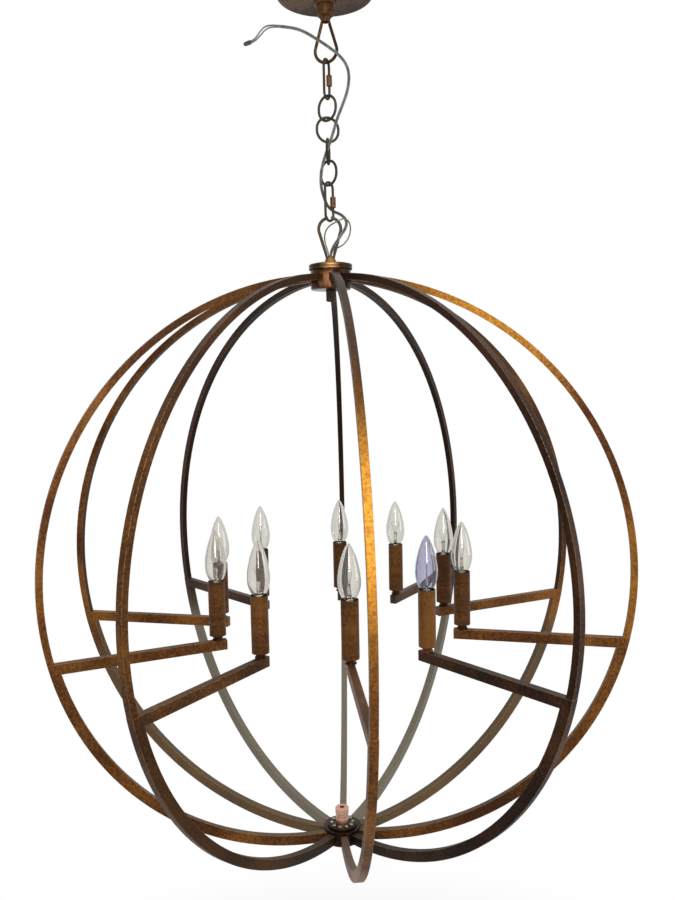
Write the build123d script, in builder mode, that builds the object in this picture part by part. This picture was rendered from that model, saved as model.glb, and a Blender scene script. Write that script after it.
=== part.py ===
"""Orb chandelier: a cage of ten split ribs that carry ten candle lights, hung from a canopy by a chain.

Origin: the centre of the ceiling plane that the canopy's rim and the crossbar lie against. +Z is up, so the
whole fitting hangs below it. Heights with "orb" in their comment are counted from the centre of the orb.
Millimetres.
"""

from build123d import *
import math
import os

os.makedirs("parts", exist_ok=True)

# ---------------------------------------------------------------- orb and its ribs
ORB_RADIUS = 457.0  # to the outer faces of the ribs
RIB_COUNT = 10
FIRST_RIB = -90.0  # degrees, the rib at the front
RIB_SWING = [0.5, -0.5, -0.5, 2.0, -0.5, -6.0, 2.0, 0.5, 1.0, -2.0]  # how far each rib was set off its pitch
UPPER_DEPTH = 10.0  # radial
UPPER_WIDTH = 10.0
LOWER_DEPTH = 15.0  # radial, and the arm's height
LOWER_WIDTH = 11.0
TUBE_WALL = 1.2
SEAM_HEIGHT = -96.0  # orb: where the upper rib stands on the lower one, and the top of the arms
SPIGOT_LENGTH = 12.0
SPIGOT_GAP = 0.15
RIB_SEAT_RADIUS = 24.0  # where the ends of the ribs stop inside the hubs
RIB_SLOT_GAP = 0.1

# ---------------------------------------------------------------- candles
CANDLE_RING = 199.0  # radius of the circle of lights
ARM_OVERHANG = 13.0  # arm beyond the light's axis
ARM_BLOCK = 26.0  # solid inner end of the arm, which takes the nipple
COLLAR_HEIGHT = 8.0
COLLAR_RADIUS = 8.6
COLLAR_WAIST = 6.6
COLLAR_BEAD = 1.0  # how far its beads stand out
SLEEVE_HEIGHT = 83.0
SLEEVE_RADIUS = 12.6
SLEEVE_WALL = 1.0
SLEEVE_FLOOR = 1.5
NIPPLE_RADIUS = 4.0
NIPPLE_GAP = 0.1
NIPPLE_BORE = 2.8
NIPPLE_IN_ARM = 10.0
NIPPLE_IN_SOCKET = 8.0
SOCKET_RADIUS = 10.8
SOCKET_BELOW_RIM = 3.0
SOCKET_EDGE = 1.0
BASE_RADIUS = 5.95  # E12 cap
BASE_LENGTH = 20.0
BASE_FLANGE = 0.8
BASE_GAP = 0.08
CONTACT_RADIUS = 3.0
CONTACT_LENGTH = 2.0
BULB_RADIUS = 16.4
BULB_WIDEST = 27.0  # height of the widest place above the cap
BULB_LENGTH = 80.0
BULB_NECK = 6.8
BULB_SHOULDER = 10.0  # radius of the glass at BULB_TAPER
BULB_TAPER = 58.0
GLASS_WALL = 0.8
GLASS_RISE = (0.35, 1)  # its direction where it leaves the cap
GLASS_PULLS = (1.2, 0.35)  # how strongly the ends hold their directions

# ---------------------------------------------------------------- top hub
HUB_RADIUS = 31.0
HUB_ABOVE_RIBS = 6.0
HUB_HEIGHT = 30.0
CAP_RADIUS = 33.8
CAP_HEIGHT = 12.0
CAP_GROOVE = 1.2
CAP_STEP = 4.0  # height of its lower bead
CAP_SHOULDER = 3.2  # below its top
CAP_CROWN = 1.2  # below its top, at CAP_CROWN_REACH from the axis
CAP_CROWN_REACH = 23.7
STEM_RADIUS = 4.8
STEM_BORE = 3.2
STEM_GAP = 0.1
STEM_BELOW_HUB = 15.0
HUB_NUT_FLATS = 13.5
HUB_NUT_HEIGHT = 18.0
HUB_EDGE = 1.5
HUB_NUT_EDGE = 1.2
HUB_TOP = ORB_RADIUS + HUB_ABOVE_RIBS  # orb

# ---------------------------------------------------------------- bottom hub
FOOT_RADIUS = 30.0
FOOT_ABOVE_RIBS = 20.0
FOOT_BELOW_RIBS = 3.5
FOOT_ROUND = 2.0
PLATE_RADIUS = 24.0
PLATE_HEIGHT = 4.0
COUPLING_RADIUS = 11.0
COUPLING_HEIGHT = 26.0
COUPLING_BORE = 4.0
COUPLING_GROOVE = 0.8
SCREW_CIRCLE = 17.0
SCREW_COUNT = 10
SCREW_HEAD_RADIUS = 3.0
SCREW_HEAD_HEIGHT = 2.2
SCREW_RADIUS = 1.5
SCREW_LENGTH = 12.0
SCREW_GAP = 0.1
PLATE_EDGE = 1.0
FOOT_TOP = FOOT_ABOVE_RIBS - ORB_RADIUS  # orb
FOOT_BOTTOM = -FOOT_BELOW_RIBS - ORB_RADIUS  # orb

# ---------------------------------------------------------------- loops, links and chain
LOOP_WIRE = 2.4  # radius
LOOP_BEND = 17.1  # radius of the round end, to the middle of the wire
LOOP_ROOT = 4.4  # the limbs' distance from the axis where they leave the neck
LOOP_HEIGHT = 61.5  # from the end of the neck to the outside of the round end
NECK_RADIUS = 6.8
NECK_BORE = 4.7
NECK_BORE_DEPTH = 14.0
NECK_MOUTH = 10.0  # how far past the neck's end the bore trims the limbs
NECK_FLARE = 11.0
NECK_HEIGHT = 9.0
LOOP_ROOT_DEPTH = 3.0  # how far the limbs run down inside the neck
FLARE_REACH = 0.25  # share of the flare that is left at FLARE_DEPTH of the neck's height
FLARE_DEPTH = 0.55
CHAIN_WIRE = 2.0  # radius
CHAIN_PLAY = 0.3  # between wires that hang in each other
LINK_LENGTH = 40.5  # outside
LINK_WIDTH = 38.0
LINK_COUNT = 4
QUICK_LENGTH = 62.0
QUICK_WIDTH = 22.0
QUICK_GAP = 6.0  # the opening that its nut closes
QUICK_NUT_LENGTH = 17.0
QUICK_NUT_FLATS = 7.6
QUICK_NUT_PLAY = 0.05
QUICK_NUT_EDGE = 0.8
CANOPY_LOOP_TURN = -20.0  # degrees about Z, from the plane of the picture
TOP_QUICK_TURN = 60.0
LINK_TURNS = [-45.0, 12.0, 80.0, -50.0]
BOTTOM_QUICK_TURN = 45.0
HUB_LOOP_TURN = -8.0

# ---------------------------------------------------------------- canopy
CANOPY_RADIUS = 76.0
CANOPY_TAPER = 2.5  # how much narrower the side is at the bottom
CANOPY_DEPTH = 30.0
CANOPY_WALL = 1.0
CANOPY_CORNER = 8.0
BARREL_RADIUS = 12.5
BARREL_TOP = -12.0
BARREL_HOLE_GAP = 0.3
SCREW_COLLAR_RADIUS = 17.5
BARREL_BELOW_COLLAR = 15.0
SCREW_COLLAR_HEIGHT = 10.0
SCREW_COLLAR_PLAY = 0.08
SCREW_COLLAR_BULGE = 1.0
CROSSBAR_LENGTH = 110.0
CROSSBAR_WIDTH = 20.0
CROSSBAR_THICKNESS = 2.5
CROSSBAR_CORNER = 5.0
BOX_SCREW_SPACING = 79.4
BOX_SCREW_SLOT = 14.0
BOX_SCREW_RADIUS = 2.3
ROD_RADIUS = 5.0
ROD_BORE = 3.4
ROD_GAP = 0.1
ROD_LENGTH = 32.0
ROD_TOP = -1.0
ROD_NUT_FLATS = 16.0
ROD_NUT_HEIGHT = 4.0

# ---------------------------------------------------------------- flex and wires
FLEX_DIAMETER = 4.6
WIRE_DIAMETER = 2.2
TAPE_RADIUS = 3.4
TAPE_ROUND = 2.0
BEND_SHARE = 0.45  # of a run, which the arc at its end takes up
# each route is (x, y, height above the top hub's body), from the hub's neck outwards
FLEX_ROUTE = [
    (0, -1.8, 15),
    (0.3, -2.2, 25),
    (5, -6.5, 36),
    (15, -9, 50),
    (25, -6.5, 64),
    (26.5, 1, 77),
    (18.5, 9, 87),
    (7, 14.5, 92),
    (-2, 13, 100.5),
    (-7.5, 6.5, 112),
    (-12.5, -2, 127),
    (-12, -7, 147),
    (-7, -9, 167),
    (3, -8.5, 192),
    (8.5, -8, 208),
    (14, -8.5, 226),
    (21, -7.5, 242),
    (30, -8.5, 264),
    (34, -10.5, 285),
    (31, -13, 302),
    (20, -15.5, 316),
    (2, -16, 329),
    (-17, -14.5, 341.5),
    (-34, -12.5, 352),
    (-51, -11.5, 357.5),
    (-69, -11, 359),
]
EARTH_ROUTE = [
    (-1.9, 2.4, 15),
    (-2.2, 2.8, 26),
    (-6, 4.5, 38),
    (-8.5, 4.5, 49),
    (-6.5, 3, 61),
    (0, -1.5, 68.5),
    (11, -8, 73),
    (21, -9, 78),
    (30, -5, 74),
    (33, 1, 62),
    (29.5, 5, 49),
    (21, 6.5, 39.5),
    (12, 6, 35),
    (5, 4.4, 33),
    (2, 2.8, 25),
    (1.9, 2.4, 15),
]
UPPER_LEAD = [
    (-69, -11, 360.15),
    (-81, -10.7, 361.15),
    (-92, -10, 359.2),
    (-100.3, -9.6, 350.5),
    (-107.26, -10, 339.97),
    (-113.35, -10, 337.7),
]
LOWER_LEAD = [
    (-69.2, -11, 357.86),
    (-81, -10.7, 358.85),
    (-90.5, -11, 354.6),
    (-98.2, -11, 346.3),
    (-106.46, -10, 337.81),
    (-112.55, -10, 335.54),
]
TAPE = [(-113, -10, 336.6), (-124, -10, 332.5)]

# ---------------------------------------------------------------- heights that follow, in the ceiling's frame
BARREL_END = -CANOPY_DEPTH - SCREW_COLLAR_HEIGHT - BARREL_BELOW_COLLAR
CANOPY_LOOP_END = BARREL_END - NECK_HEIGHT - LOOP_HEIGHT
LOOP_PITCH = LOOP_WIRE + CHAIN_WIRE + CHAIN_PLAY
LINK_PITCH = 2 * CHAIN_WIRE + CHAIN_PLAY
# each wire height is that of the middle of the wire
CANOPY_LOOP_WIRE = CANOPY_LOOP_END + LOOP_WIRE
TOP_QUICK_HIGH = CANOPY_LOOP_WIRE + LOOP_PITCH
TOP_QUICK_LOW = TOP_QUICK_HIGH - QUICK_LENGTH + 2 * CHAIN_WIRE
LINK_STEP = LINK_LENGTH - 2 * CHAIN_WIRE - LINK_PITCH
FIRST_LINK_HIGH = TOP_QUICK_LOW + LINK_PITCH
LAST_LINK_LOW = FIRST_LINK_HIGH - LINK_COUNT * LINK_STEP - LINK_PITCH
BOTTOM_QUICK_HIGH = LAST_LINK_LOW + LINK_PITCH
BOTTOM_QUICK_LOW = BOTTOM_QUICK_HIGH - QUICK_LENGTH + 2 * CHAIN_WIRE
HUB_LOOP_WIRE = BOTTOM_QUICK_LOW + LOOP_PITCH
HUB_LOOP_END = HUB_LOOP_WIRE + LOOP_WIRE
NECK_TOP = HUB_LOOP_END - LOOP_HEIGHT
CAP_TOP = NECK_TOP - NECK_HEIGHT
HUB_Z = CAP_TOP - CAP_HEIGHT  # the upper face of the top hub's body
ORB_Z = HUB_Z - HUB_TOP  # the orb's centre

RIB_LETTERS = "ihgfedcbaj"  # counted counterclockwise from the front
AZIMUTHS = [FIRST_RIB + 360 / RIB_COUNT * i + swing for i, swing in enumerate(RIB_SWING)]


def save(part, name):
    """Labels a finished piece and writes it."""
    part.label = name
    export_step(part, f"parts/{name}.step")


def rib_plane(azimuth):
    """The upright plane of one rib, with X outwards from the orb's centre and Y up."""
    a = math.radians(azimuth)
    return Plane(
        origin=(0, 0, ORB_Z),
        x_dir=(math.cos(a), math.sin(a), 0),
        z_dir=(math.sin(a), -math.cos(a), 0),
    )


def upright(turn, height, up=1):
    """An upright plane through the axis, turned about Z, with its origin at a height. Y is down if up is -1."""
    a = math.radians(turn)
    return Plane(
        origin=(0, 0, height),
        x_dir=(math.cos(a), math.sin(a), 0),
        z_dir=(up * math.sin(a), -up * math.cos(a), 0),
    )


def light_spots(height):
    """The lights' places at a height above the orb's centre."""
    for azimuth in AZIMUTHS:
        a = math.radians(azimuth)
        yield Location((CANDLE_RING * math.cos(a), CANDLE_RING * math.sin(a), ORB_Z + height))


def angle_at_height(height, radius):
    """The angle on an arc of that radius at which it passes a height."""
    return math.degrees(math.asin(height / radius))


def angle_at_reach(reach, radius):
    """The angle on an arc of that radius, above the orb's centre, at which it is that far from the axis."""
    return math.degrees(math.acos(reach / radius))


def strip(outer, inner, outer_span, inner_span):
    """A face between two arcs about the orb's centre, each from its first to its second angle."""
    with BuildLine() as outline:
        out = CenterArc((0, 0), outer, outer_span[0], outer_span[1] - outer_span[0])
        back = CenterArc((0, 0), inner, inner_span[0], inner_span[1] - inner_span[0])
        Line(out @ 0, back @ 0)
        Line(out @ 1, back @ 1)
    make_face(outline.edges())


def upper_strip(outer, inner):
    """The side view of an upper rib, from the seam to its seat in the top hub."""
    spans = [
        (angle_at_height(SEAM_HEIGHT, radius), angle_at_reach(RIB_SEAT_RADIUS, radius))
        for radius in (outer, inner)
    ]
    strip(outer, inner, *spans)


def lower_strip(outer, inner, top):
    """The side view of a lower rib, from a height down to its seat in the bottom hub."""
    spans = [
        (-angle_at_reach(RIB_SEAT_RADIUS, radius), angle_at_height(top, radius))
        for radius in (outer, inner)
    ]
    strip(outer, inner, *spans)


# ================================================================ ribs
ARM_INNER = CANDLE_RING - ARM_OVERHANG
LOWER_INNER = ORB_RADIUS - LOWER_DEPTH
UPPER_INNER = ORB_RADIUS - UPPER_DEPTH
ARM_MEETS = LOWER_INNER * math.cos(math.radians(angle_at_height(SEAM_HEIGHT, LOWER_INNER))) + TUBE_WALL

for letter, azimuth in zip(RIB_LETTERS, AZIMUTHS):
    plane = rib_plane(azimuth)
    with BuildPart() as upper_rib:
        with BuildSketch(plane):
            upper_strip(ORB_RADIUS, UPPER_INNER)
        extrude(amount=UPPER_WIDTH / 2, both=True)
        with BuildSketch(plane):
            upper_strip(ORB_RADIUS - TUBE_WALL, UPPER_INNER + TUBE_WALL)
        extrude(amount=UPPER_WIDTH / 2 - TUBE_WALL, both=True, mode=Mode.SUBTRACT)
    save(upper_rib.part, f"upper_rib_{letter}")

    with BuildPart() as lower_rib:
        with BuildSketch(plane):
            lower_strip(ORB_RADIUS, LOWER_INNER, SEAM_HEIGHT)
            with Locations(((ARM_INNER + ARM_MEETS) / 2, SEAM_HEIGHT - LOWER_DEPTH / 2)):
                Rectangle(ARM_MEETS - ARM_INNER, LOWER_DEPTH)
        extrude(amount=LOWER_WIDTH / 2, both=True)
        with BuildSketch(plane):
            lower_strip(ORB_RADIUS - TUBE_WALL, LOWER_INNER + TUBE_WALL, SEAM_HEIGHT - TUBE_WALL)
            hollow_from = ARM_INNER + ARM_BLOCK
            with Locations(((hollow_from + ARM_MEETS) / 2, SEAM_HEIGHT - LOWER_DEPTH / 2)):
                Rectangle(ARM_MEETS - hollow_from, LOWER_DEPTH - 2 * TUBE_WALL)
        extrude(amount=LOWER_WIDTH / 2 - TUBE_WALL, both=True, mode=Mode.SUBTRACT)
        # the spigot that stands up inside the upper rib
        inset = TUBE_WALL + SPIGOT_GAP
        with BuildSketch(plane):
            spans = [
                (angle_at_height(SEAM_HEIGHT, r), angle_at_height(SEAM_HEIGHT + SPIGOT_LENGTH, r))
                for r in (ORB_RADIUS - inset, UPPER_INNER + inset)
            ]
            strip(ORB_RADIUS - inset, UPPER_INNER + inset, *spans)
        extrude(amount=UPPER_WIDTH / 2 - inset, both=True)
        # the tapped hole for the nipple under the light
        with Locations(plane.location * Location((CANDLE_RING, SEAM_HEIGHT, 0), (-90, 0, 0))):
            Hole(NIPPLE_RADIUS + NIPPLE_GAP, NIPPLE_IN_ARM)
    save(lower_rib.part, f"lower_rib_{letter}")

# ================================================================ candles
SLEEVE_BASE = SEAM_HEIGHT + COLLAR_HEIGHT
SLEEVE_TOP = SLEEVE_BASE + SLEEVE_HEIGHT
SOCKET_BASE = SLEEVE_BASE + SLEEVE_FLOOR
SOCKET_TOP = SLEEVE_TOP - SOCKET_BELOW_RIM
SOCKET_WELL = BASE_LENGTH + CONTACT_LENGTH - BASE_FLANGE

with BuildPart() as candle_collar:
    with BuildSketch(Plane.XZ):
        with BuildLine():
            bead = COLLAR_HEIGHT / 3
            edge = COLLAR_RADIUS - COLLAR_BEAD
            inner = Line((NIPPLE_RADIUS + NIPPLE_GAP, COLLAR_HEIGHT), (NIPPLE_RADIUS + NIPPLE_GAP, 0))
            foot = Line(inner @ 1, (edge, 0))
            low = ThreePointArc(foot @ 1, (COLLAR_RADIUS, bead / 2), (edge, bead))
            waist = ThreePointArc(low @ 1, (COLLAR_WAIST, 1.5 * bead), (edge, 2 * bead))
            high = ThreePointArc(waist @ 1, (COLLAR_RADIUS, 2.5 * bead), (edge, 3 * bead))
            Line(high @ 1, inner @ 0)
        make_face()
    revolve(axis=Axis.Z)

with BuildPart() as candle_sleeve:
    Cylinder(SLEEVE_RADIUS, SLEEVE_HEIGHT, align=(Align.CENTER, Align.CENTER, Align.MIN))
    with Locations((0, 0, SLEEVE_FLOOR)):
        Cylinder(
            SLEEVE_RADIUS - SLEEVE_WALL,
            SLEEVE_HEIGHT,
            align=(Align.CENTER, Align.CENTER, Align.MIN),
            mode=Mode.SUBTRACT,
        )
    Hole(NIPPLE_RADIUS + NIPPLE_GAP)

with BuildPart() as socket:
    Cylinder(SOCKET_RADIUS, SOCKET_TOP - SOCKET_BASE, align=(Align.CENTER, Align.CENTER, Align.MIN))
    top_face = socket.faces().sort_by(Axis.Z)[-1]
    chamfer(top_face.edges(), SOCKET_EDGE)
    with Locations(top_face.center_location):
        Hole(BASE_RADIUS + BASE_GAP, SOCKET_WELL)
    with Locations(Location((0, 0, 0), (180, 0, 0))):
        Hole(NIPPLE_RADIUS + NIPPLE_GAP, NIPPLE_IN_SOCKET)

with BuildPart() as socket_nipple:
    nipple_length = NIPPLE_IN_ARM + COLLAR_HEIGHT + SLEEVE_FLOOR + NIPPLE_IN_SOCKET
    Cylinder(NIPPLE_RADIUS, nipple_length, align=(Align.CENTER, Align.CENTER, Align.MIN))
    Hole(NIPPLE_BORE)


def glass_outline(inset):
    """One side of the bulb's glass, drawn that far inside its surface, from the neck to the tip."""
    return Spline(
        (BULB_NECK - inset, 0),
        (BULB_RADIUS - inset, BULB_WIDEST),
        (BULB_SHOULDER - inset, BULB_TAPER),
        (0, BULB_LENGTH - inset),
        tangents=(GLASS_RISE, (-1, 0)),
        tangent_scalars=GLASS_PULLS,
    )


with BuildPart() as bulb_glass:
    with BuildSketch(Plane.XZ):
        with BuildLine():
            outside = glass_outline(0)
            inside = glass_outline(GLASS_WALL)
            Line(outside @ 0, inside @ 0)
            Line(outside @ 1, inside @ 1)
        make_face()
    revolve(axis=Axis.Z)

with BuildPart() as bulb_cap:
    Cylinder(BASE_RADIUS, BASE_LENGTH, align=(Align.CENTER, Align.CENTER, Align.MAX))
    with Locations((0, 0, -BASE_LENGTH)):
        Cylinder(CONTACT_RADIUS, CONTACT_LENGTH, align=(Align.CENTER, Align.CENTER, Align.MAX))
    Cylinder(BULB_NECK, BASE_FLANGE, align=(Align.CENTER, Align.CENTER, Align.MAX))


def group(pieces, height):
    """Copies of a light's pieces at every light, as separate solids."""
    return Compound(children=[spot * piece for spot in light_spots(height) for piece in pieces])


save(group([candle_collar.part], SEAM_HEIGHT), "candle_collars")
save(group([candle_sleeve.part], SLEEVE_BASE), "candle_sleeves")
save(group([socket.part], SOCKET_BASE), "lampholders")
save(group([socket_nipple.part], SEAM_HEIGHT - NIPPLE_IN_ARM), "lampholder_nipples")
for letter, spot in zip(RIB_LETTERS, light_spots(SOCKET_TOP + BASE_FLANGE)):
    bulb = Compound(children=[spot * bulb_glass.part, spot * bulb_cap.part])
    save(bulb, f"bulb_{letter}")


# ================================================================ hubs
def rib_slots(depth, width, gap_low, gap_high):
    """Cuts the seats for the ends of the ribs into a hub, between two heights above the orb's centre."""
    for azimuth in AZIMUTHS:
        with BuildSketch(rib_plane(azimuth)) as slot:
            with Locations((RIB_SEAT_RADIUS + depth / 2, (gap_low + gap_high) / 2)):
                Rectangle(depth, gap_high - gap_low)
        extrude(slot.sketch, amount=width / 2 + RIB_SLOT_GAP, both=True, mode=Mode.SUBTRACT)


def drop(radius, reach):
    """How high an arc about the orb's centre stands at that distance from the axis."""
    return math.sqrt(radius**2 - reach**2)


with BuildPart() as top_hub:
    with Locations((0, 0, HUB_Z)):
        Cylinder(HUB_RADIUS, HUB_HEIGHT, align=(Align.CENTER, Align.CENTER, Align.MAX))
    chamfer(top_hub.faces().sort_by(Axis.Z)[0].edges(), HUB_EDGE)
    rib_slots(
        HUB_RADIUS,
        UPPER_WIDTH,
        drop(UPPER_INNER, HUB_RADIUS) - RIB_SLOT_GAP,
        drop(ORB_RADIUS, RIB_SEAT_RADIUS) + RIB_SLOT_GAP,
    )
    with Locations((0, 0, HUB_Z)):
        Hole(STEM_RADIUS + STEM_GAP, HUB_HEIGHT)
save(top_hub.part, "top_hub")

with BuildPart() as hub_cap:
    with BuildSketch(upright(0, HUB_Z)):
        with BuildLine():
            shoulder = CAP_HEIGHT - CAP_SHOULDER
            rim = CAP_RADIUS - CAP_GROOVE
            bore = STEM_RADIUS + STEM_GAP
            base = Line((bore, 0), (rim, 0))
            low = ThreePointArc(base @ 1, (CAP_RADIUS, CAP_STEP / 2), (rim, CAP_STEP))
            high = ThreePointArc(low @ 1, (CAP_RADIUS, (CAP_STEP + shoulder) / 2), (rim, shoulder))
            crown_at = (CAP_CROWN_REACH, CAP_HEIGHT - CAP_CROWN)
            crown = ThreePointArc(high @ 1, crown_at, (NECK_FLARE, CAP_HEIGHT))
            top = Line(crown @ 1, (bore, CAP_HEIGHT))
            Line(top @ 1, base @ 0)
        make_face()
    revolve(axis=Axis.Z)
save(hub_cap.part, "hub_cap")

with BuildPart() as hub_nut:
    with BuildSketch(Plane.XY.offset(HUB_Z - HUB_HEIGHT)):
        RegularPolygon(HUB_NUT_FLATS / 2, 6, major_radius=False)
        Circle(STEM_RADIUS + STEM_GAP, mode=Mode.SUBTRACT)
    extrude(amount=-HUB_NUT_HEIGHT)
    outer_wire = hub_nut.faces().sort_by(Axis.Z)[0].outer_wire()
    chamfer(outer_wire.edges(), HUB_NUT_EDGE)
save(hub_nut.part, "hub_nut")

with BuildPart() as bottom_hub:
    with Locations((0, 0, ORB_Z + FOOT_TOP)):
        Cylinder(FOOT_RADIUS, FOOT_TOP - FOOT_BOTTOM, align=(Align.CENTER, Align.CENTER, Align.MAX))
    fillet(bottom_hub.faces().sort_by(Axis.Z)[0].edges(), FOOT_ROUND)
    rib_slots(
        FOOT_RADIUS,
        LOWER_WIDTH,
        -drop(ORB_RADIUS, RIB_SEAT_RADIUS) - RIB_SLOT_GAP,
        -drop(LOWER_INNER, FOOT_RADIUS) + RIB_SLOT_GAP,
    )
    with Locations((0, 0, ORB_Z + FOOT_TOP)):
        Hole(COUPLING_BORE, FOOT_TOP - FOOT_BOTTOM)
        with PolarLocations(SCREW_CIRCLE, SCREW_COUNT):
            Hole(SCREW_RADIUS + SCREW_GAP, SCREW_LENGTH - PLATE_HEIGHT + SCREW_GAP)
save(bottom_hub.part, "bottom_hub")

with BuildPart() as hub_plate:
    with Locations((0, 0, ORB_Z + FOOT_TOP)):
        Cylinder(PLATE_RADIUS, PLATE_HEIGHT, align=(Align.CENTER, Align.CENTER, Align.MIN))
    chamfer(hub_plate.faces().sort_by(Axis.Z)[-1].edges(), PLATE_EDGE)
    with Locations((0, 0, ORB_Z + FOOT_TOP + PLATE_HEIGHT)):
        Hole(COUPLING_BORE, PLATE_HEIGHT)
        with PolarLocations(SCREW_CIRCLE, SCREW_COUNT):
            Hole(SCREW_RADIUS + SCREW_GAP, PLATE_HEIGHT)
save(hub_plate.part, "hub_plate")

with BuildPart() as hub_coupling:
    with BuildSketch(upright(0, ORB_Z + FOOT_TOP + PLATE_HEIGHT)):
        with BuildLine():
            rim = COUPLING_RADIUS - COUPLING_GROOVE
            third = COUPLING_HEIGHT / 3
            Polyline(
                (COUPLING_BORE, 0),
                (COUPLING_RADIUS, 0),
                (COUPLING_RADIUS, third),
                (rim, third + COUPLING_GROOVE),
                (rim, 2 * third - COUPLING_GROOVE),
                (COUPLING_RADIUS, 2 * third),
                (COUPLING_RADIUS, COUPLING_HEIGHT - COUPLING_GROOVE),
                (rim, COUPLING_HEIGHT),
                (COUPLING_BORE, COUPLING_HEIGHT),
                close=True,
            )
        make_face()
    revolve(axis=Axis.Z)
save(hub_coupling.part, "hub_coupling")

with BuildPart() as hub_screws:
    with Locations((0, 0, ORB_Z + FOOT_TOP + PLATE_HEIGHT)):
        with PolarLocations(SCREW_CIRCLE, SCREW_COUNT):
            Cylinder(SCREW_RADIUS, SCREW_LENGTH, align=(Align.CENTER, Align.CENTER, Align.MAX))
            Cylinder(SCREW_HEAD_RADIUS, SCREW_HEAD_HEIGHT, align=(Align.CENTER, Align.CENTER, Align.MIN))
    head_rims = hub_screws.edges().filter_by(GeomType.CIRCLE).group_by(Axis.Z)[-1]
    fillet(head_rims, SCREW_HEAD_HEIGHT / 2)
save(hub_screws.part, "hub_screws")


# ================================================================ loops
def loop_limbs(plane):
    """A teardrop loop of wire that rises along the plane's Y from the end of its neck."""
    centre = LOOP_HEIGHT - LOOP_WIRE - LOOP_BEND
    reach = math.hypot(LOOP_ROOT, centre)
    touch = math.degrees(math.acos(LOOP_BEND / reach) - math.atan2(centre, LOOP_ROOT))
    with BuildLine(plane) as limbs:
        bend = CenterArc((0, centre), LOOP_BEND, touch, 180 - 2 * touch)
        Line(bend @ 0, (LOOP_ROOT, -LOOP_ROOT_DEPTH))
        Line(bend @ 1, (-LOOP_ROOT, -LOOP_ROOT_DEPTH))
    with BuildSketch(Plane(origin=limbs.line @ 0, z_dir=limbs.line % 0)) as section:
        Circle(LOOP_WIRE)
    sweep(section.sketch, path=limbs.line)


def neck(plane, from_radius):
    """The solid neck that narrows along the plane's Y up to the loop, and ends at its origin."""
    with BuildSketch(plane) as side:
        with BuildLine():
            wide = Line((0, -NECK_HEIGHT), (from_radius, -NECK_HEIGHT))
            flare = ThreePointArc(
                wide @ 1,
                (NECK_RADIUS + FLARE_REACH * (from_radius - NECK_RADIUS), -FLARE_DEPTH * NECK_HEIGHT),
                (NECK_RADIUS, 0),
            )
            Line(flare @ 1, (0, 0))
            Line((0, 0), (0, -NECK_HEIGHT))
        make_face()
    revolve(side.sketch, axis=Axis.Z)


with BuildPart() as hub_loop:
    hub_loop_plane = upright(HUB_LOOP_TURN, NECK_TOP)
    neck(hub_loop_plane, NECK_FLARE)
    stem_length = CAP_HEIGHT + HUB_HEIGHT + STEM_BELOW_HUB
    with Locations((0, 0, CAP_TOP)):
        Cylinder(STEM_RADIUS, stem_length, align=(Align.CENTER, Align.CENTER, Align.MAX))
    loop_limbs(hub_loop_plane)
    with Locations((0, 0, NECK_TOP + NECK_MOUTH)):
        Hole(NECK_BORE, NECK_MOUTH + NECK_BORE_DEPTH)
    with Locations((0, 0, NECK_TOP)):
        Hole(STEM_BORE, NECK_HEIGHT + stem_length)
save(hub_loop.part, "hub_loop")

with BuildPart() as canopy_loop:
    canopy_loop_plane = upright(CANOPY_LOOP_TURN, BARREL_END - NECK_HEIGHT, up=-1)
    neck(canopy_loop_plane, BARREL_RADIUS)
    with Locations((0, 0, BARREL_END)):
        Cylinder(BARREL_RADIUS, BARREL_TOP - BARREL_END, align=(Align.CENTER, Align.CENTER, Align.MIN))
    loop_limbs(canopy_loop_plane)
    with Locations((0, 0, BARREL_TOP)):
        Hole(ROD_RADIUS + ROD_GAP, ROD_LENGTH + BARREL_TOP - ROD_TOP)
        Hole(NECK_BORE, BARREL_TOP - BARREL_END + NECK_HEIGHT + NECK_MOUTH)
save(canopy_loop.part, "canopy_loop")


# ================================================================ chain
def ring_link(turn, high):
    """A link of round wire whose upper bend has the middle of its wire at that height."""
    bend = LINK_WIDTH / 2 - CHAIN_WIRE
    straight = LINK_LENGTH - LINK_WIDTH
    with BuildPart() as link:
        with BuildLine(upright(turn, high)) as path:
            upper = CenterArc((0, -bend), bend, 0, 180)
            left = Line(upper @ 1, (-bend, -bend - straight))
            lower = CenterArc((0, -bend - straight), bend, 180, 180)
            Line((bend, -bend - straight), (bend, -bend))
        with BuildSketch(Plane(origin=path.line @ 0, z_dir=path.line % 0)):
            Circle(CHAIN_WIRE)
        sweep(path=path.line)
    return link.part


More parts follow.
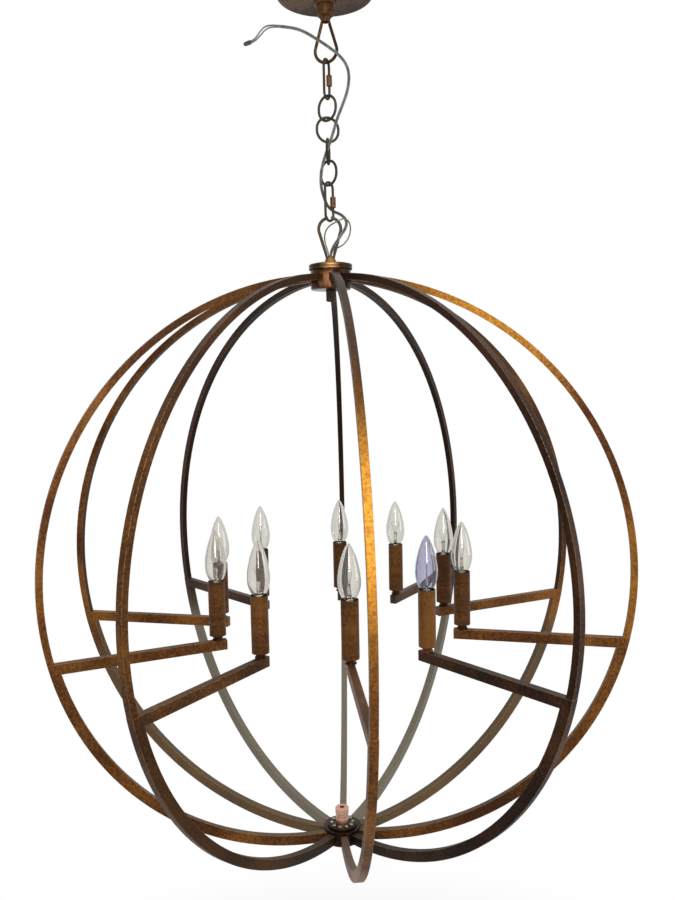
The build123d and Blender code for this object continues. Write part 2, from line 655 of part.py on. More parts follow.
def quick_link(turn, high):
    """An oval link with one leg open, and the threaded nut that closes it."""
    bend = QUICK_WIDTH / 2 - CHAIN_WIRE
    low = 2 * CHAIN_WIRE - QUICK_LENGTH
    plane = upright(turn, high)
    with BuildPart() as link:
        with BuildLine(plane) as path:
            Line((bend, (low - QUICK_GAP) / 2), (bend, low + bend))
            CenterArc((0, low + bend), bend, 0, -180)
            Line((-bend, low + bend), (-bend, -bend))
            CenterArc((0, -bend), bend, 180, -180)
            Line((bend, -bend), (bend, (low + QUICK_GAP) / 2))
        with BuildSketch(Plane(origin=path.line @ 0, z_dir=path.line % 0)):
            Circle(CHAIN_WIRE)
        sweep(path=path.line)
    leg = plane.from_local_coords((bend, low / 2))
    with BuildPart() as nut:
        with BuildSketch(Plane.XY.offset(leg.Z - QUICK_NUT_LENGTH / 2)):
            with Locations((leg.X, leg.Y)):
                RegularPolygon(QUICK_NUT_FLATS / 2, 6, major_radius=False)
        extrude(amount=QUICK_NUT_LENGTH)
        chamfer(nut.faces().filter_by(Axis.Z).edges(), QUICK_NUT_EDGE)
        with Locations((leg.X, leg.Y, leg.Z + QUICK_NUT_LENGTH / 2)):
            Hole(CHAIN_WIRE + QUICK_NUT_PLAY, QUICK_NUT_LENGTH)
    return link.part, nut.part


for i, turn in enumerate(LINK_TURNS):
    save(ring_link(turn, FIRST_LINK_HIGH - i * LINK_STEP), f"chain_link_{i + 1}")

for name, turn, high in (
    ("top_quick_link", TOP_QUICK_TURN, TOP_QUICK_HIGH),
    ("bottom_quick_link", BOTTOM_QUICK_TURN, BOTTOM_QUICK_HIGH),
):
    link_part, nut_part = quick_link(turn, high)
    save(link_part, name)
    save(nut_part, f"{name}_nut")


# ================================================================ canopy and what holds it
def pan_side(inset):
    """Half of the canopy's outline, drawn that far inside its surface."""
    with BuildLine() as outline:
        wall = Line((CANOPY_RADIUS - inset, 0), (CANOPY_RADIUS - CANOPY_TAPER - inset, inset - CANOPY_DEPTH))
        floor = Line(wall @ 1, (0, inset - CANOPY_DEPTH))
        axis = Line(floor @ 1, (0, 0))
        Line(axis @ 1, wall @ 0)
    make_face(outline.edges())
    corner = vertices().sort_by(Axis.Y).group_by(Axis.Y)[0].sort_by(Axis.X)[-1]
    fillet(corner, CANOPY_CORNER - inset)


with BuildPart() as canopy:
    with BuildSketch(Plane.XZ):
        pan_side(0)
    revolve(axis=Axis.Z)
    with BuildSketch(Plane.XZ):
        pan_side(CANOPY_WALL)
    revolve(axis=Axis.Z, mode=Mode.SUBTRACT)
    Hole(BARREL_RADIUS + BARREL_HOLE_GAP)
save(canopy.part, "canopy")

with BuildPart() as screw_collar:
    with BuildSketch(upright(0, -CANOPY_DEPTH)):
        with BuildLine():
            bore = BARREL_RADIUS + SCREW_COLLAR_PLAY
            bulge = (SCREW_COLLAR_RADIUS, -SCREW_COLLAR_HEIGHT / 2)
            face = SCREW_COLLAR_RADIUS - SCREW_COLLAR_BULGE
            top = Line((bore, 0), (face, 0))
            side = ThreePointArc(top @ 1, bulge, (face, -SCREW_COLLAR_HEIGHT))
            bottom = Line(side @ 1, (bore, -SCREW_COLLAR_HEIGHT))
            Line(bottom @ 1, top @ 0)
        make_face()
    revolve(axis=Axis.Z)
save(screw_collar.part, "screw_collar")

with BuildPart() as crossbar:
    with BuildSketch():
        RectangleRounded(CROSSBAR_LENGTH, CROSSBAR_WIDTH, CROSSBAR_CORNER)
        with GridLocations(BOX_SCREW_SPACING, 0, 2, 1):
            SlotOverall(BOX_SCREW_SLOT, 2 * BOX_SCREW_RADIUS, mode=Mode.SUBTRACT)
        Circle(ROD_RADIUS + ROD_GAP, mode=Mode.SUBTRACT)
    extrude(amount=-CROSSBAR_THICKNESS)
save(crossbar.part, "crossbar")

with BuildPart() as threaded_rod:
    with Locations((0, 0, ROD_TOP)):
        Cylinder(ROD_RADIUS, ROD_LENGTH, align=(Align.CENTER, Align.CENTER, Align.MAX))
        Hole(ROD_BORE, ROD_LENGTH)
save(threaded_rod.part, "threaded_rod")

with BuildPart() as rod_nut:
    with BuildSketch(Plane.XY.offset(-CROSSBAR_THICKNESS)):
        RegularPolygon(ROD_NUT_FLATS / 2, 6, major_radius=False)
        Circle(ROD_RADIUS + ROD_GAP, mode=Mode.SUBTRACT)
    extrude(amount=-ROD_NUT_HEIGHT)
save(rod_nut.part, "rod_nut")


# ================================================================ flex and wires
def tube(name, diameter, route):
    """A round wire along straight runs joined by tangent arcs, each as large as its runs allow."""
    points = [Vector(x, y, HUB_Z + z) for x, y, z in route]
    radii = []
    for before, at, after in zip(points, points[1:], points[2:]):
        run, turn = min((at - before).length, (after - at).length), (at - before).get_angle(after - at)
        radii.append(BEND_SHARE * run / math.tan(math.radians(turn) / 2))
    with BuildPart() as wire:
        with BuildLine() as path:
            FilletPolyline(*points, radius=radii)
        with BuildSketch(Plane(origin=path.line @ 0, z_dir=path.line % 0)):
            Circle(diameter / 2)
        sweep(path=path.line)
    length = path.wire().length
    share = wire.part.volume / (math.pi * diameter**2 / 4 * length)
    print(f"{name}: {length:.0f} mm long, volume {share:.3f} of its section by its length")
    print("  bend radii", [round(radius, 1) for radius in radii])
    return wire.part


save(tube("flex", FLEX_DIAMETER, FLEX_ROUTE), "flex")
save(tube("earth wire", WIRE_DIAMETER, EARTH_ROUTE), "earth_wire")
leads = [tube(f"lead {i}", WIRE_DIAMETER, route) for i, route in enumerate((UPPER_LEAD, LOWER_LEAD), 1)]
save(Compound(children=leads), "flex_leads")

tape_start, tape_end = (Vector(x, y, HUB_Z + z) for x, y, z in TAPE)
with BuildPart() as lead_tape:
    with BuildSketch(Plane(origin=tape_start, z_dir=tape_end - tape_start)):
        Circle(TAPE_RADIUS)
    extrude(amount=(tape_end - tape_start).length)
    fillet(lead_tape.faces().sort_by(Axis.X)[0].edges(), TAPE_ROUND)
save(lead_tape.part, "lead_tape")
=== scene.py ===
"""Orb chandelier: its finishes, bulbs, wires and studio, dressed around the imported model.

Metres throughout, in the shared frame: the origin is in the ceiling plane, and the fitting hangs down -Z.
"""

import logging
import math
from collections.abc import Iterable, Sequence
from dataclasses import dataclass, replace
from enum import Enum

import bmesh
import bpy
from mathutils import Matrix, Vector, geometry


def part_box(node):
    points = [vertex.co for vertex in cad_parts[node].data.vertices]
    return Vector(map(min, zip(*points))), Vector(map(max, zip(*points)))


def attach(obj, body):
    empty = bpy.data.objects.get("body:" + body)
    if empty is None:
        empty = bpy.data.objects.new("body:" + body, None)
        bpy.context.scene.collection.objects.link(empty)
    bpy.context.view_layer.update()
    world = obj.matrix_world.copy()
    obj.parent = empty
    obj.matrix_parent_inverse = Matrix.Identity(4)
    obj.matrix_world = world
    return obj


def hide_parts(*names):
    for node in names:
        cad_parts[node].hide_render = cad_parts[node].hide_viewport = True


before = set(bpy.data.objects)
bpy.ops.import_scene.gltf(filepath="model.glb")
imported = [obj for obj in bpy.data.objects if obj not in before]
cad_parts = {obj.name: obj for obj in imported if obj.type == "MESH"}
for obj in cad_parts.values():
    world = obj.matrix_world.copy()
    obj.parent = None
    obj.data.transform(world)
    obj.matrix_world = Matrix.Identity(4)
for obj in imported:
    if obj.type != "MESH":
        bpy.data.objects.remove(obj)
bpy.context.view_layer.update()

log = logging.getLogger("orb chandelier")

MM = 0.001
FULL_TURN = 2 * math.pi
HUB_Z = -0.4343  # the upper face of the top hub's body
ORB_Z = -0.8973  # the orb's centre
ORB_CENTRE = (0.0, 0.0, ORB_Z)
RIB_LETTERS = "abcdefghij"

Triple = tuple[float, float, float]
Span = tuple[float, float]
Outline = Sequence[Span]  # radii and heights

WHITE = (1.0, 1.0, 1.0, 1.0)
UP = (0.0, 0.0, 1.0)
GLASS_IOR = 1.5
BEVEL_SAMPLES = 4

# Where a noise or a facing starts to show, and where it shows in full.
SPECKS = (0.56, 0.68)
# painted highlights: where the mottle lets them through
HIGHLIGHT_BREAKS = (0.40, 0.56)
# edges, partly wear and partly a painted highlight
EDGE_WEAR_AND_LIGHT_BREAKS = (0.28, 0.48)
FACING_IN = (0.2, 0.8)
FACING_UP = (0.3, 0.95)
EDGE_TURN = (0.01, 0.2)
TOP_SHADE_HEIGHTS = (ORB_Z + 0.16, ORB_Z + 0.43)  # heights over which a painted shade darkens the ribs towards the top hub
PAINTED_BOWL_HEIGHTS = (ORB_Z - 0.19, ORB_Z - 0.12)  # and over which the painted colour below the arms fades out: painted reflection where grey, painted shade where dark


def paint(code: str) -> tuple[float, float, float, float]:
    """The linear colour of a tone written as on a paint chart.

    Args:
        code: six hexadecimal digits, two each for red, green and blue.

    Returns:
        Linear red, green, blue and a full alpha.
    """
    parts = [int(code[i : i + 2], 16) / 255 for i in (0, 2, 4)]
    linear = [p / 12.92 if p <= 0.04045 else ((p + 0.055) / 1.055) ** 2.4 for p in parts]
    return (linear[0], linear[1], linear[2], 1.0)


# ---- shader maths


class Shade:
    """A shader socket in a sum or product: each operator adds one Math node to its tree."""

    def __init__(self, bench: "Bench", socket: bpy.types.NodeSocket) -> None:
        """Keep the bench that the socket stands on, and the socket."""
        self.bench = bench
        self.socket = socket

    def _math(self, operation: str, first: "Term", second: "Term" = 0.0) -> "Shade":
        """Add one Math node."""
        return self.bench.node("ShaderNodeMath", {"operation": operation}, {0: first, 1: second})

    def __add__(self, other: "Term") -> "Shade":
        """self + other."""
        return self._math("ADD", self, other)

    def __radd__(self, other: "Term") -> "Shade":
        """other + self."""
        return self._math("ADD", other, self)

    def __sub__(self, other: "Term") -> "Shade":
        """self - other."""
        return self._math("SUBTRACT", self, other)

    def __rsub__(self, other: "Term") -> "Shade":
        """other - self."""
        return self._math("SUBTRACT", other, self)

    def __mul__(self, other: "Term") -> "Shade":
        """self * other."""
        return self._math("MULTIPLY", self, other)

    def __rmul__(self, other: "Term") -> "Shade":
        """other * self."""
        return self._math("MULTIPLY", other, self)

    def sine(self) -> "Shade":
        """The sine of the value."""
        return self._math("SINE", self)

    def between(self, low: float, high: float) -> "Shade":
        """A smooth step, from 0 at the low value to 1 at the high one."""
        inputs = {"Value": self, "From Min": low, "From Max": high}
        return self.bench.node("ShaderNodeMapRange", {"interpolation_type": "SMOOTHSTEP"}, inputs)


Term = Shade | float


class Bench:
    """The node tree that one finish is made on."""

    def __init__(self, tree: bpy.types.NodeTree) -> None:
        """Clear the tree."""
        tree.nodes.clear()
        self.tree = tree

    def node(
        self,
        kind: str,
        settings: dict[str, object] | None = None,
        inputs: dict[str | int, object] | None = None,
        output: str | int = 0,
    ) -> Shade:
        """Add any node.

        Args:
            kind: the node's type.
            settings: its properties, set before its sockets; "stops" are a ramp's places and colours.
            inputs: a value or a Shade for each named or numbered socket.
            output: the socket that is handed back.

        Returns:
            That output, or the first input of a node that has no output.
        """
        made = self.tree.nodes.new(kind)
        for name, value in (settings or {}).items():
            if name == "stops":
                self._stops(made.color_ramp, value)
            else:
                setattr(made, name, value)
        for name, value in (inputs or {}).items():
            socket = made.inputs[name]
            if isinstance(value, Shade):
                self.tree.links.new(value.socket, socket)
            else:
                socket.default_value = value
        return Shade(self, made.outputs[output] if len(made.outputs) else made.inputs[0])

    @staticmethod
    def _stops(ramp: bpy.types.ColorRamp, stops: Sequence[tuple[float, str]]) -> None:
        """Set a ramp's stops.

        Args:
            ramp: the ramp, which starts with two stops.
            stops: places from 0 to 1 with their paint codes.
        """
        while len(ramp.elements) < len(stops):
            ramp.elements.new(0.5)
        for element, (place, code) in zip(ramp.elements, stops):
            element.position = place
            element.color = paint(code)

    def blend(self, share: Term, first: object, second: object) -> Shade:
        """Mix two colours, each a paint or a Shade, by the share of the second."""
        return self.node("ShaderNodeMix", {"data_type": "RGBA"}, {0: share, 6: first, 7: second}, output=2)

    def vector(
        self, operation: str, first: object, second: object = (0.0, 0.0, 0.0), output: str = "Vector"
    ) -> Shade:
        """Add one Vector Math node; its output is "Value" for a length or a dot product."""
        return self.node("ShaderNodeVectorMath", {"operation": operation}, {0: first, 1: second}, output)

    def place(self) -> Shade:
        """Where a point of the surface is on its own object."""
        return self.node("ShaderNodeTexCoord", output="Object")

    def axis(self, vector: Shade, name: str) -> Shade:
        """A vector's X, Y or Z."""
        return self.node("ShaderNodeSeparateXYZ", {}, {0: vector}, output=name)

    def noise(self, where: Shade, scale: float, detail: float, rough: float = 0.55) -> Shade:
        """A Noise texture, with so many cells per metre and values of about 0.3 to 0.7."""
        inputs = {"Vector": where, "Scale": scale, "Detail": detail, "Roughness": rough}
        return self.node("ShaderNodeTexNoise", {}, inputs)

    def stretched(self, where: Shade, scale: Triple) -> Shade:
        """Coordinates with each axis scaled by its own factor."""
        return self.node("ShaderNodeMapping", {}, {"Vector": where, "Scale": scale})

    def softened(self, radius: float) -> Shade:
        """The normal with the object's edges rounded by a radius."""
        return self.node("ShaderNodeBevel", {"samples": BEVEL_SAMPLES}, {"Radius": radius})

    def edges(self, softened: Shade) -> Shade:
        """Where the surface turns at an edge.

        Args:
            softened: the rounded normal.

        Returns:
            0 on a flat and up to 1 at an edge.
        """
        true = self.node("ShaderNodeNewGeometry", output="True Normal")
        along = self.vector("DOT_PRODUCT", softened, true, "Value")
        return (1.0 - along).between(*EDGE_TURN)

    def outward(self, where: Shade, centre: Triple) -> Shade:
        """How far the surface faces away from a point.

        Args:
            where: the surface's coordinates.
            centre: the point.

        Returns:
            1 where it faces straight away from the point and -1 where it faces it.
        """
        spoke = self.vector("NORMALIZE", self.vector("SUBTRACT", where, centre))
        facing = self.node("ShaderNodeTexCoord", output="Normal")
        return self.vector("DOT_PRODUCT", spoke, facing, "Value")

    def upward(self) -> Shade:
        """How far the surface faces up, from -1 to 1."""
        facing = self.node("ShaderNodeTexCoord", output="Normal")
        return self.vector("DOT_PRODUCT", facing, UP, "Value")

    def bumped(self, height: Shade, depth: float, normal: Shade | None = None) -> Shade:
        """A normal bent by a height.

        Args:
            height: 0 to 1.
            depth: the height's full depth in metres.
            normal: the normal that it starts from, where that isn't the surface's own.

        Returns:
            The bent normal.
        """
        inputs: dict[str | int, object] = {"Height": height, "Distance": depth, "Strength": 1.0}
        if normal is not None:
            inputs["Normal"] = normal
        return self.node("ShaderNodeBump", {}, inputs)

    def in_sight(self) -> Shade:
        """Tell what the camera sees from the rest.

        Returns:
            1 for what it sees, straight or in gloss or through glass, and 0 for the rest.
        """
        rays = ("Is Camera Ray", "Is Glossy Ray", "Is Transmission Ray")
        seen, gloss, through = (self.node("ShaderNodeLightPath", output=ray) for ray in rays)
        return (seen + gloss + through).between(0.0, 1.0)

    def principled(self, **sockets: object) -> Shade:
        """The main shader, with its sockets' names written with underscores."""
        inputs = {name.replace("_", " "): value for name, value in sockets.items()}
        return self.node("ShaderNodeBsdfPrincipled", {}, inputs)


# ---- finishes


@dataclass(frozen=True)
class Finish:
    """A surface finish, which becomes a Blender material when it is first used."""

    name: str

    def surface(self, bench: Bench) -> Shade:
        """The finish's shader, which each kind of finish makes in its own way."""
        raise NotImplementedError

    def material(self) -> bpy.types.Material:
        """The material.

        Returns:
            The one made earlier under this name, or a new one.
        """
        known = bpy.data.materials.get(self.name)
        if known is not None:
            return known
        made = bpy.data.materials.new(self.name)
        made.use_nodes = True
        bench = Bench(made.node_tree)
        bench.node("ShaderNodeOutputMaterial", {}, {"Surface": self.surface(bench)})
        return made


@dataclass(frozen=True)
class PaintedHighlight:
    """A painted highlight: a spot where a bright gold, standing in for the lamp's gloss, is mixed into the
    bronze's colour.
    """

    centre: Triple
    reach: float
    strength: float


@dataclass(frozen=True)
class AgedBronze(Finish):
    """Bronze with a fine mottled patina and dust, painted highlights, painted shade and reflection on the
    orb's inner faces, towards its top and below its arms, and edges that are partly wear and partly a
    painted highlight.
    """

    dark: str = "4A2B15"
    body: str = "6F4520"
    bright: str = "92602B"
    speck: str = "2A180E"
    # the edges' colour: partly wear, partly a painted edge highlight
    wear_and_edge_light: str = "D0A066"
    # the colour of the painted highlights
    gold: str = "DE9A34"
    # the colour of faces turned into the orb: painted shade where dark, painted reflection of the white
    # surround where grey
    inside: str = "2E1D14"
    # painted shade on the ribs towards the top hub
    painted_top_shade: str = "33251F"
    # the colour below the arms: painted reflection where grey, painted shade where dark
    painted_bowl: str = "979181"
    # dust on upward faces, with a painted sheen where light falls on them
    dust: str = "7D7061"
    metallic: float = 0.34
    roughness: float = 0.4
    specular: float = 0.12
    patch: float = 9.0  # cells per metre, as are the next two
    mottle: float = 260.0
    grain: float = 850.0
    weights: Triple = (0.42, 0.34, 0.24)  # of patch, mottle and grain in the tone
    contrast: Span = (0.40, 0.61)
    bands: float = 0.0  # rings around an upright piece, in cells per metre
    band_weight: float = 0.12
    speckled: float = 0.65
    # painted highlights: gold spots that stand in for the lamp's gloss
    painted_highlights: tuple[PaintedHighlight, ...] = ()
    # share of that painted colour on the inner faces
    inner_shade_and_sheen_share: float = 0.0
    # share of that painted shade
    painted_top_shade_share: float = 0.0
    # share of that painted colour below the arms
    painted_bowl_share: float = 0.0
    # share of the dust and painted sheen on upward faces
    dust_and_sheen_share: float = 0.12
    edge_radius: float = 0.0012
    # share of that edge colour, partly wear and partly painted highlight
    edge_light_and_wear_share: float = 0.6
    pit_depth: float = 0.00015

    def surface(self, bench: Bench) -> Shade:
        """The bronze's shader.

        Args:
            bench: where it is made.

        Returns:
            The shader.
        """
        where = bench.place()
        patch = bench.noise(where, self.patch, detail=2.0)
        mottle = bench.noise(where, self.mottle, detail=4.0, rough=0.6)
        grain = bench.noise(where, self.grain, detail=2.0)
        tone = self._tone(bench, where, (patch, mottle, grain))
        colour = self._colour_with_highlights(bench, where, tone, mottle)
        colour = self._with_painted_light_and_dust(bench, where, colour, patch, mottle)
        soft = bench.softened(self.edge_radius)
        # edges: partly wear, partly a painted highlight along them
        edge = bench.edges(soft) * mottle.between(*EDGE_WEAR_AND_LIGHT_BREAKS)
        return bench.principled(
            Base_Color=bench.blend(edge * self.edge_light_and_wear_share, colour, paint(self.wear_and_edge_light)),
            Metallic=self.metallic,
            Roughness=self.roughness + (1.0 - tone) * 0.1 + grain * 0.08 - edge * 0.1,
            Specular_IOR_Level=self.specular,
            Normal=bench.bumped(mottle * 0.45 + grain * 0.55, self.pit_depth, soft),
        )

    def _tone(self, bench: Bench, where: Shade, noises: tuple[Shade, Shade, Shade]) -> Shade:
        """How light the patina is.

        Args:
            bench: where it is made.
            where: the surface's coordinates.
            noises: patch, mottle and grain.

        Returns:
            0 for its darkest tone and 1 for its brightest.
        """
        patch, mottle, grain = (noise * weight for noise, weight in zip(noises, self.weights))
        tone = patch + mottle + grain
        if self.bands:
            rings = bench.noise(bench.stretched(where, (6.0, 6.0, self.bands)), 1.0, detail=2.0)
            tone = tone * (1.0 - self.band_weight) + rings * self.band_weight
        return tone.between(*self.contrast)

    def _colour_with_highlights(self, bench: Bench, where: Shade, tone: Shade, mottle: Shade) -> Shade:
        """The patina's colour, with its painted highlights and its specks.

        Args:
            bench: where it is made.
            where: the surface's coordinates.
            tone: how light it is.
            mottle: the noise that breaks up the painted highlights.

        Returns:
            The colour.
        """
        stops = ((0.0, self.dark), (0.5, self.body), (1.0, self.bright))
        colour = bench.node("ShaderNodeValToRGB", {"stops": stops}, {0: tone})
        # painted highlights: gold spots mixed into the colour where the lamp's gloss would fall
        for spot in self.painted_highlights:
            away = bench.vector("DISTANCE", where, spot.centre, "Value")
            share = (1.0 - away.between(0.2 * spot.reach, spot.reach)) * spot.strength
            broken = share * (0.55 + 0.45 * mottle.between(*HIGHLIGHT_BREAKS))
            colour = bench.blend(broken, colour, paint(self.gold))
        specks = bench.noise(where, 2.0 * self.mottle, detail=2.0).between(*SPECKS)
        return bench.blend(specks * self.speckled, colour, paint(self.speck))

    def _with_painted_light_and_dust(self, bench: Bench, where: Shade, colour: Shade, patch: Shade, mottle: Shade) -> Shade:
        """The colour with painted shade and reflection on the orb's inner faces, painted shade towards its
        top, painted reflection and shade below its arms, and dust with a painted sheen on its upward faces.

        Args:
            bench: where it is made.
            where: the surface's coordinates.
            colour: the colour without them.
            patch: the noise that the dust and its painted sheen follow.
            mottle: the noise that breaks up the painted colour below the arms.

        Returns:
            The colour with its painted light and its dust.
        """
        # faces turned into the orb: painted shade where the colour is dark, painted reflection where it is
        # grey
        if self.inner_shade_and_sheen_share:
            inner = (0.0 - bench.outward(where, ORB_CENTRE)).between(*FACING_IN)
            colour = bench.blend(inner * self.inner_shade_and_sheen_share, colour, paint(self.inside))
        # painted shade, growing towards the top hub
        if self.painted_top_shade_share:
            painted_top_shade = bench.axis(where, "Z").between(*TOP_SHADE_HEIGHTS)
            colour = bench.blend(painted_top_shade * self.painted_top_shade_share, colour, paint(self.painted_top_shade))
        # below the arms: painted reflection where grey, painted shade where dark
        if self.painted_bowl_share:
            painted_bowl = 1.0 - bench.axis(where, "Z").between(*PAINTED_BOWL_HEIGHTS)
            colour = bench.blend(painted_bowl * self.painted_bowl_share * (0.7 + 0.6 * mottle), colour, paint(self.painted_bowl))
        # upward faces: dust, and a painted sheen where light falls on them
        dust_and_sheen = bench.upward().between(*FACING_UP) * (0.4 + patch)
        return bench.blend(dust_and_sheen * self.dust_and_sheen_share, colour, paint(self.dust))


@dataclass(frozen=True)
class PlatedMetal(Finish):
    """Plain or plated metal with fine scratches and dull patches."""

    tone: str = "B9B6AE"
    dull: str = "7C7A74"
    metallic: float = 1.0
    roughness: float = 0.28
    patch: float = 260.0
    dulled: Span = (0.42, 0.64)
    scratch: float = 2400.0
    scratch_depth: float = 0.00004
    edge_radius: float = 0.0003

    def surface(self, bench: Bench) -> Shade:
        """The plated metal's shader.

        Args:
            bench: where it is made.

        Returns:
            The shader.
        """
        where = bench.place()
        dull = bench.noise(where, self.patch, detail=4.0).between(*self.dulled)
        fine = bench.noise(bench.stretched(where, (1.0, 1.0, 6.0)), self.scratch, detail=2.0)
        return bench.principled(
            Base_Color=bench.blend(dull, paint(self.tone), paint(self.dull)),
            Metallic=self.metallic,
            Roughness=self.roughness + dull * 0.2 + fine * 0.1,
            Normal=bench.bumped(fine, self.scratch_depth, bench.softened(self.edge_radius)),
        )


@dataclass(frozen=True)
class Moulding(Finish):
    """Moulded plastic or wound tape with a fine pebble and faint dust."""

    tone: str = "1B1A19"
    dust: str = "4A4742"
    roughness: float = 0.5
    pebble: float = 1800.0
    pebble_depth: float = 0.00006
    dusting: float = 130.0
    dusty: Span = (0.5, 0.75)

    def surface(self, bench: Bench) -> Shade:
        """The moulding's shader.

        Args:
            bench: where it is made.

        Returns:
            The shader.
        """
        where = bench.place()
        pebble = bench.noise(where, self.pebble, detail=2.0)
        dust = bench.noise(where, self.dusting, detail=4.0).between(*self.dusty)
        return bench.principled(
            Base_Color=bench.blend(dust * 0.5, paint(self.tone), paint(self.dust)),
            Roughness=self.roughness + pebble * 0.2,
            Normal=bench.bumped(pebble, self.pebble_depth),
        )


@dataclass(frozen=True)
class BulbGlass(Finish):
    """Blown glass with a painted shade towards its outline, a little uneven."""

    clear: str = "F1EEE8"
    # the painted shade at the outline, where the glass is seen edge-on
    rim: str = "8A8378"
    roughness: float = 0.015
    rim_shade_blend: float = 0.28
    waves: float = 70.0
    wave_depth: float = 0.00012

    def surface(self, bench: Bench) -> Shade:
        """The glass's shader.

        Args:
            bench: where it is made.

        Returns:
            The shader.
        """
        uneven = bench.noise(bench.place(), self.waves, detail=1.0)
        # painted shade towards the outline, by how far the surface turns from the view
        rim = bench.node("ShaderNodeLayerWeight", {}, {"Blend": self.rim_shade_blend}, output="Facing")
        return bench.principled(
            Base_Color=bench.blend(rim, paint(self.clear), paint(self.rim)),
            Roughness=self.roughness + uneven * 0.02,
            IOR=GLASS_IOR,
            Transmission_Weight=1.0,
            Normal=bench.bumped(uneven, self.wave_depth),
        )


@dataclass(frozen=True)
class ClearSheath(Finish):
    """Clear insulation over fine bright strands, drawn along the wire by its lay attribute."""

    bright: str = "9BA09C"
    body: str = "6F7570"
    shade: str = "3F4340"
    strands: float = 2.0
    twist: float = 0.03  # metres of wire for one turn of the strands
    strand_share: float = 0.12
    cloud: float = 90.0
    cloudy: Span = (0.38, 0.66)
    cloud_depth: float = 0.00002

    def surface(self, bench: Bench) -> Shade:
        """The sheath's shader.

        Args:
            bench: where it is made.

        Returns:
            The shader.
        """
        lay = bench.node("ShaderNodeAttribute", {"attribute_name": LAY}, output="Vector")
        along, around = bench.axis(lay, "X"), bench.axis(lay, "Y")
        strand = (around * self.strands + along * (self.strands * FULL_TURN / self.twist)).sine()
        stripe = strand.between(-0.9, 0.9)
        dull = bench.noise(bench.place(), self.cloud, detail=3.0).between(*self.cloudy)
        colour = bench.blend(stripe * self.strand_share, paint(self.body), paint(self.bright))
        return bench.principled(
            Base_Color=bench.blend(dull * 0.6, colour, paint(self.shade)),
            Metallic=0.3 + stripe * 0.15,
            Roughness=0.45 + dull * 0.16,
            Coat_Weight=0.1,
            Coat_Roughness=0.3,
            Normal=bench.bumped(dull, self.cloud_depth),
        )


@dataclass(frozen=True)
class PaleFloor(Finish):
    """A white floor that keeps a shadow under the object and meets the white around it."""

    tone: str = "F2F2F0"
    cloud: str = "D8D8D6"
    veil: float = 0.7  # share of plain white that the camera sees under the object
    clear_from: float = 0.8  # metres from the middle, where the veil begins to close
    clear_to: float = 1.75

    def surface(self, bench: Bench) -> Shade:
        """The floor's shader.

        Args:
            bench: where it is made.

        Returns:
            The shader.
        """
        where = bench.place()
        clouds = bench.noise(where, 3.0, detail=3.0)
        tone = bench.blend(clouds * 0.08, paint(self.tone), paint(self.cloud))
        matt = bench.principled(Base_Color=tone, Roughness=0.9, Specular_IOR_Level=0.1)
        white = bench.node("ShaderNodeEmission", {}, {"Color": WHITE, "Strength": 1.0})
        level = bench.vector("MULTIPLY", where, (1.0, 1.0, 0.0))
        away = bench.vector("LENGTH", level, output="Value")
        veil = self.veil + away.between(self.clear_from, self.clear_to) * (1.0 - self.veil)
        return bench.node("ShaderNodeMixShader", {}, {0: bench.in_sight() * veil, 1: matt, 2: white})


# a grey painted reflection for the lower ribs' inner faces
INNER_SHEEN = "6B6150"

# painted shade on the inner faces and towards the top hub
RIB_BRONZE = AgedBronze("rib bronze", inner_shade_and_sheen_share=0.8, painted_top_shade_share=0.4)
# a half-shaded copy of the rib bronze, darker all over as painted shade, with painted shade on the inner
# faces and towards the top
HALF_SHADED_RIB_BRONZE = AgedBronze(
    "half shaded rib bronze", dark="3A2312", body="5C3919", bright="7F5424", inner_shade_and_sheen_share=0.8, painted_top_shade_share=0.75
)
# a copy with a grey painted reflection below the arms and on the inner faces
GREY_SHEEN_RIB_BRONZE = AgedBronze(
    "grey sheen rib bronze", painted_bowl="6C604C", inside=INNER_SHEEN, inner_shade_and_sheen_share=0.5, painted_bowl_share=0.65
)
# its lower copy, with a grey painted reflection on the inner faces
HALF_SHADED_LOWER_BRONZE = replace(
    HALF_SHADED_RIB_BRONZE,
    name="half shaded lower rib bronze",
    # a dark painted shade below the arms
    painted_bowl="24170F",
    inside="4E4639",
    inner_shade_and_sheen_share=0.5,
    painted_top_shade_share=0.0,
    painted_bowl_share=0.65,
)
# a shaded copy of the rib bronze, darker all over as painted shade, with painted shade on the inner faces
# and towards the top, for ribs turned away from the lamps
SHADED_RIB_BRONZE = AgedBronze(
    "shaded rib bronze",
    dark="1B110B",
    body="2F1C12",
    bright="4B301D",
    speck="1A0F0A",
    inside="241712",
    inner_shade_and_sheen_share=0.7,
    painted_top_shade_share=0.5,
)
FRONT_RIB_BRONZE = AgedBronze(
    "front rib bronze",
    # a deeper painted shade towards the top
    painted_top_shade="1E1612",
    # a grey painted reflection on the front rib's inner face
    inside="6A6253",
    inner_shade_and_sheen_share=0.7,
    painted_top_shade_share=0.95,
    # a painted highlight: a gold glow on the front rib's outer face, where the lamp's gloss falls
    painted_highlights=(PaintedHighlight((0.004, -0.43, -0.75), 0.20, 0.9),),
)
RIGHT_RIB_BRONZE = AgedBronze(
    "right rib bronze",
    # painted shade on the inner faces
    inner_shade_and_sheen_share=0.8,
    # painted highlights: a gold glow on the right rib's upper side and a fainter one lower down
    painted_highlights=(PaintedHighlight((0.24, -0.08, -0.50), 0.21, 0.7), PaintedHighlight((0.43, -0.14, -0.95), 0.16, 0.3)),
)
# a grey painted reflection on the inner faces
LOWER_RIB_BRONZE = AgedBronze("lower rib bronze", inside=INNER_SHEEN, inner_shade_and_sheen_share=0.6)
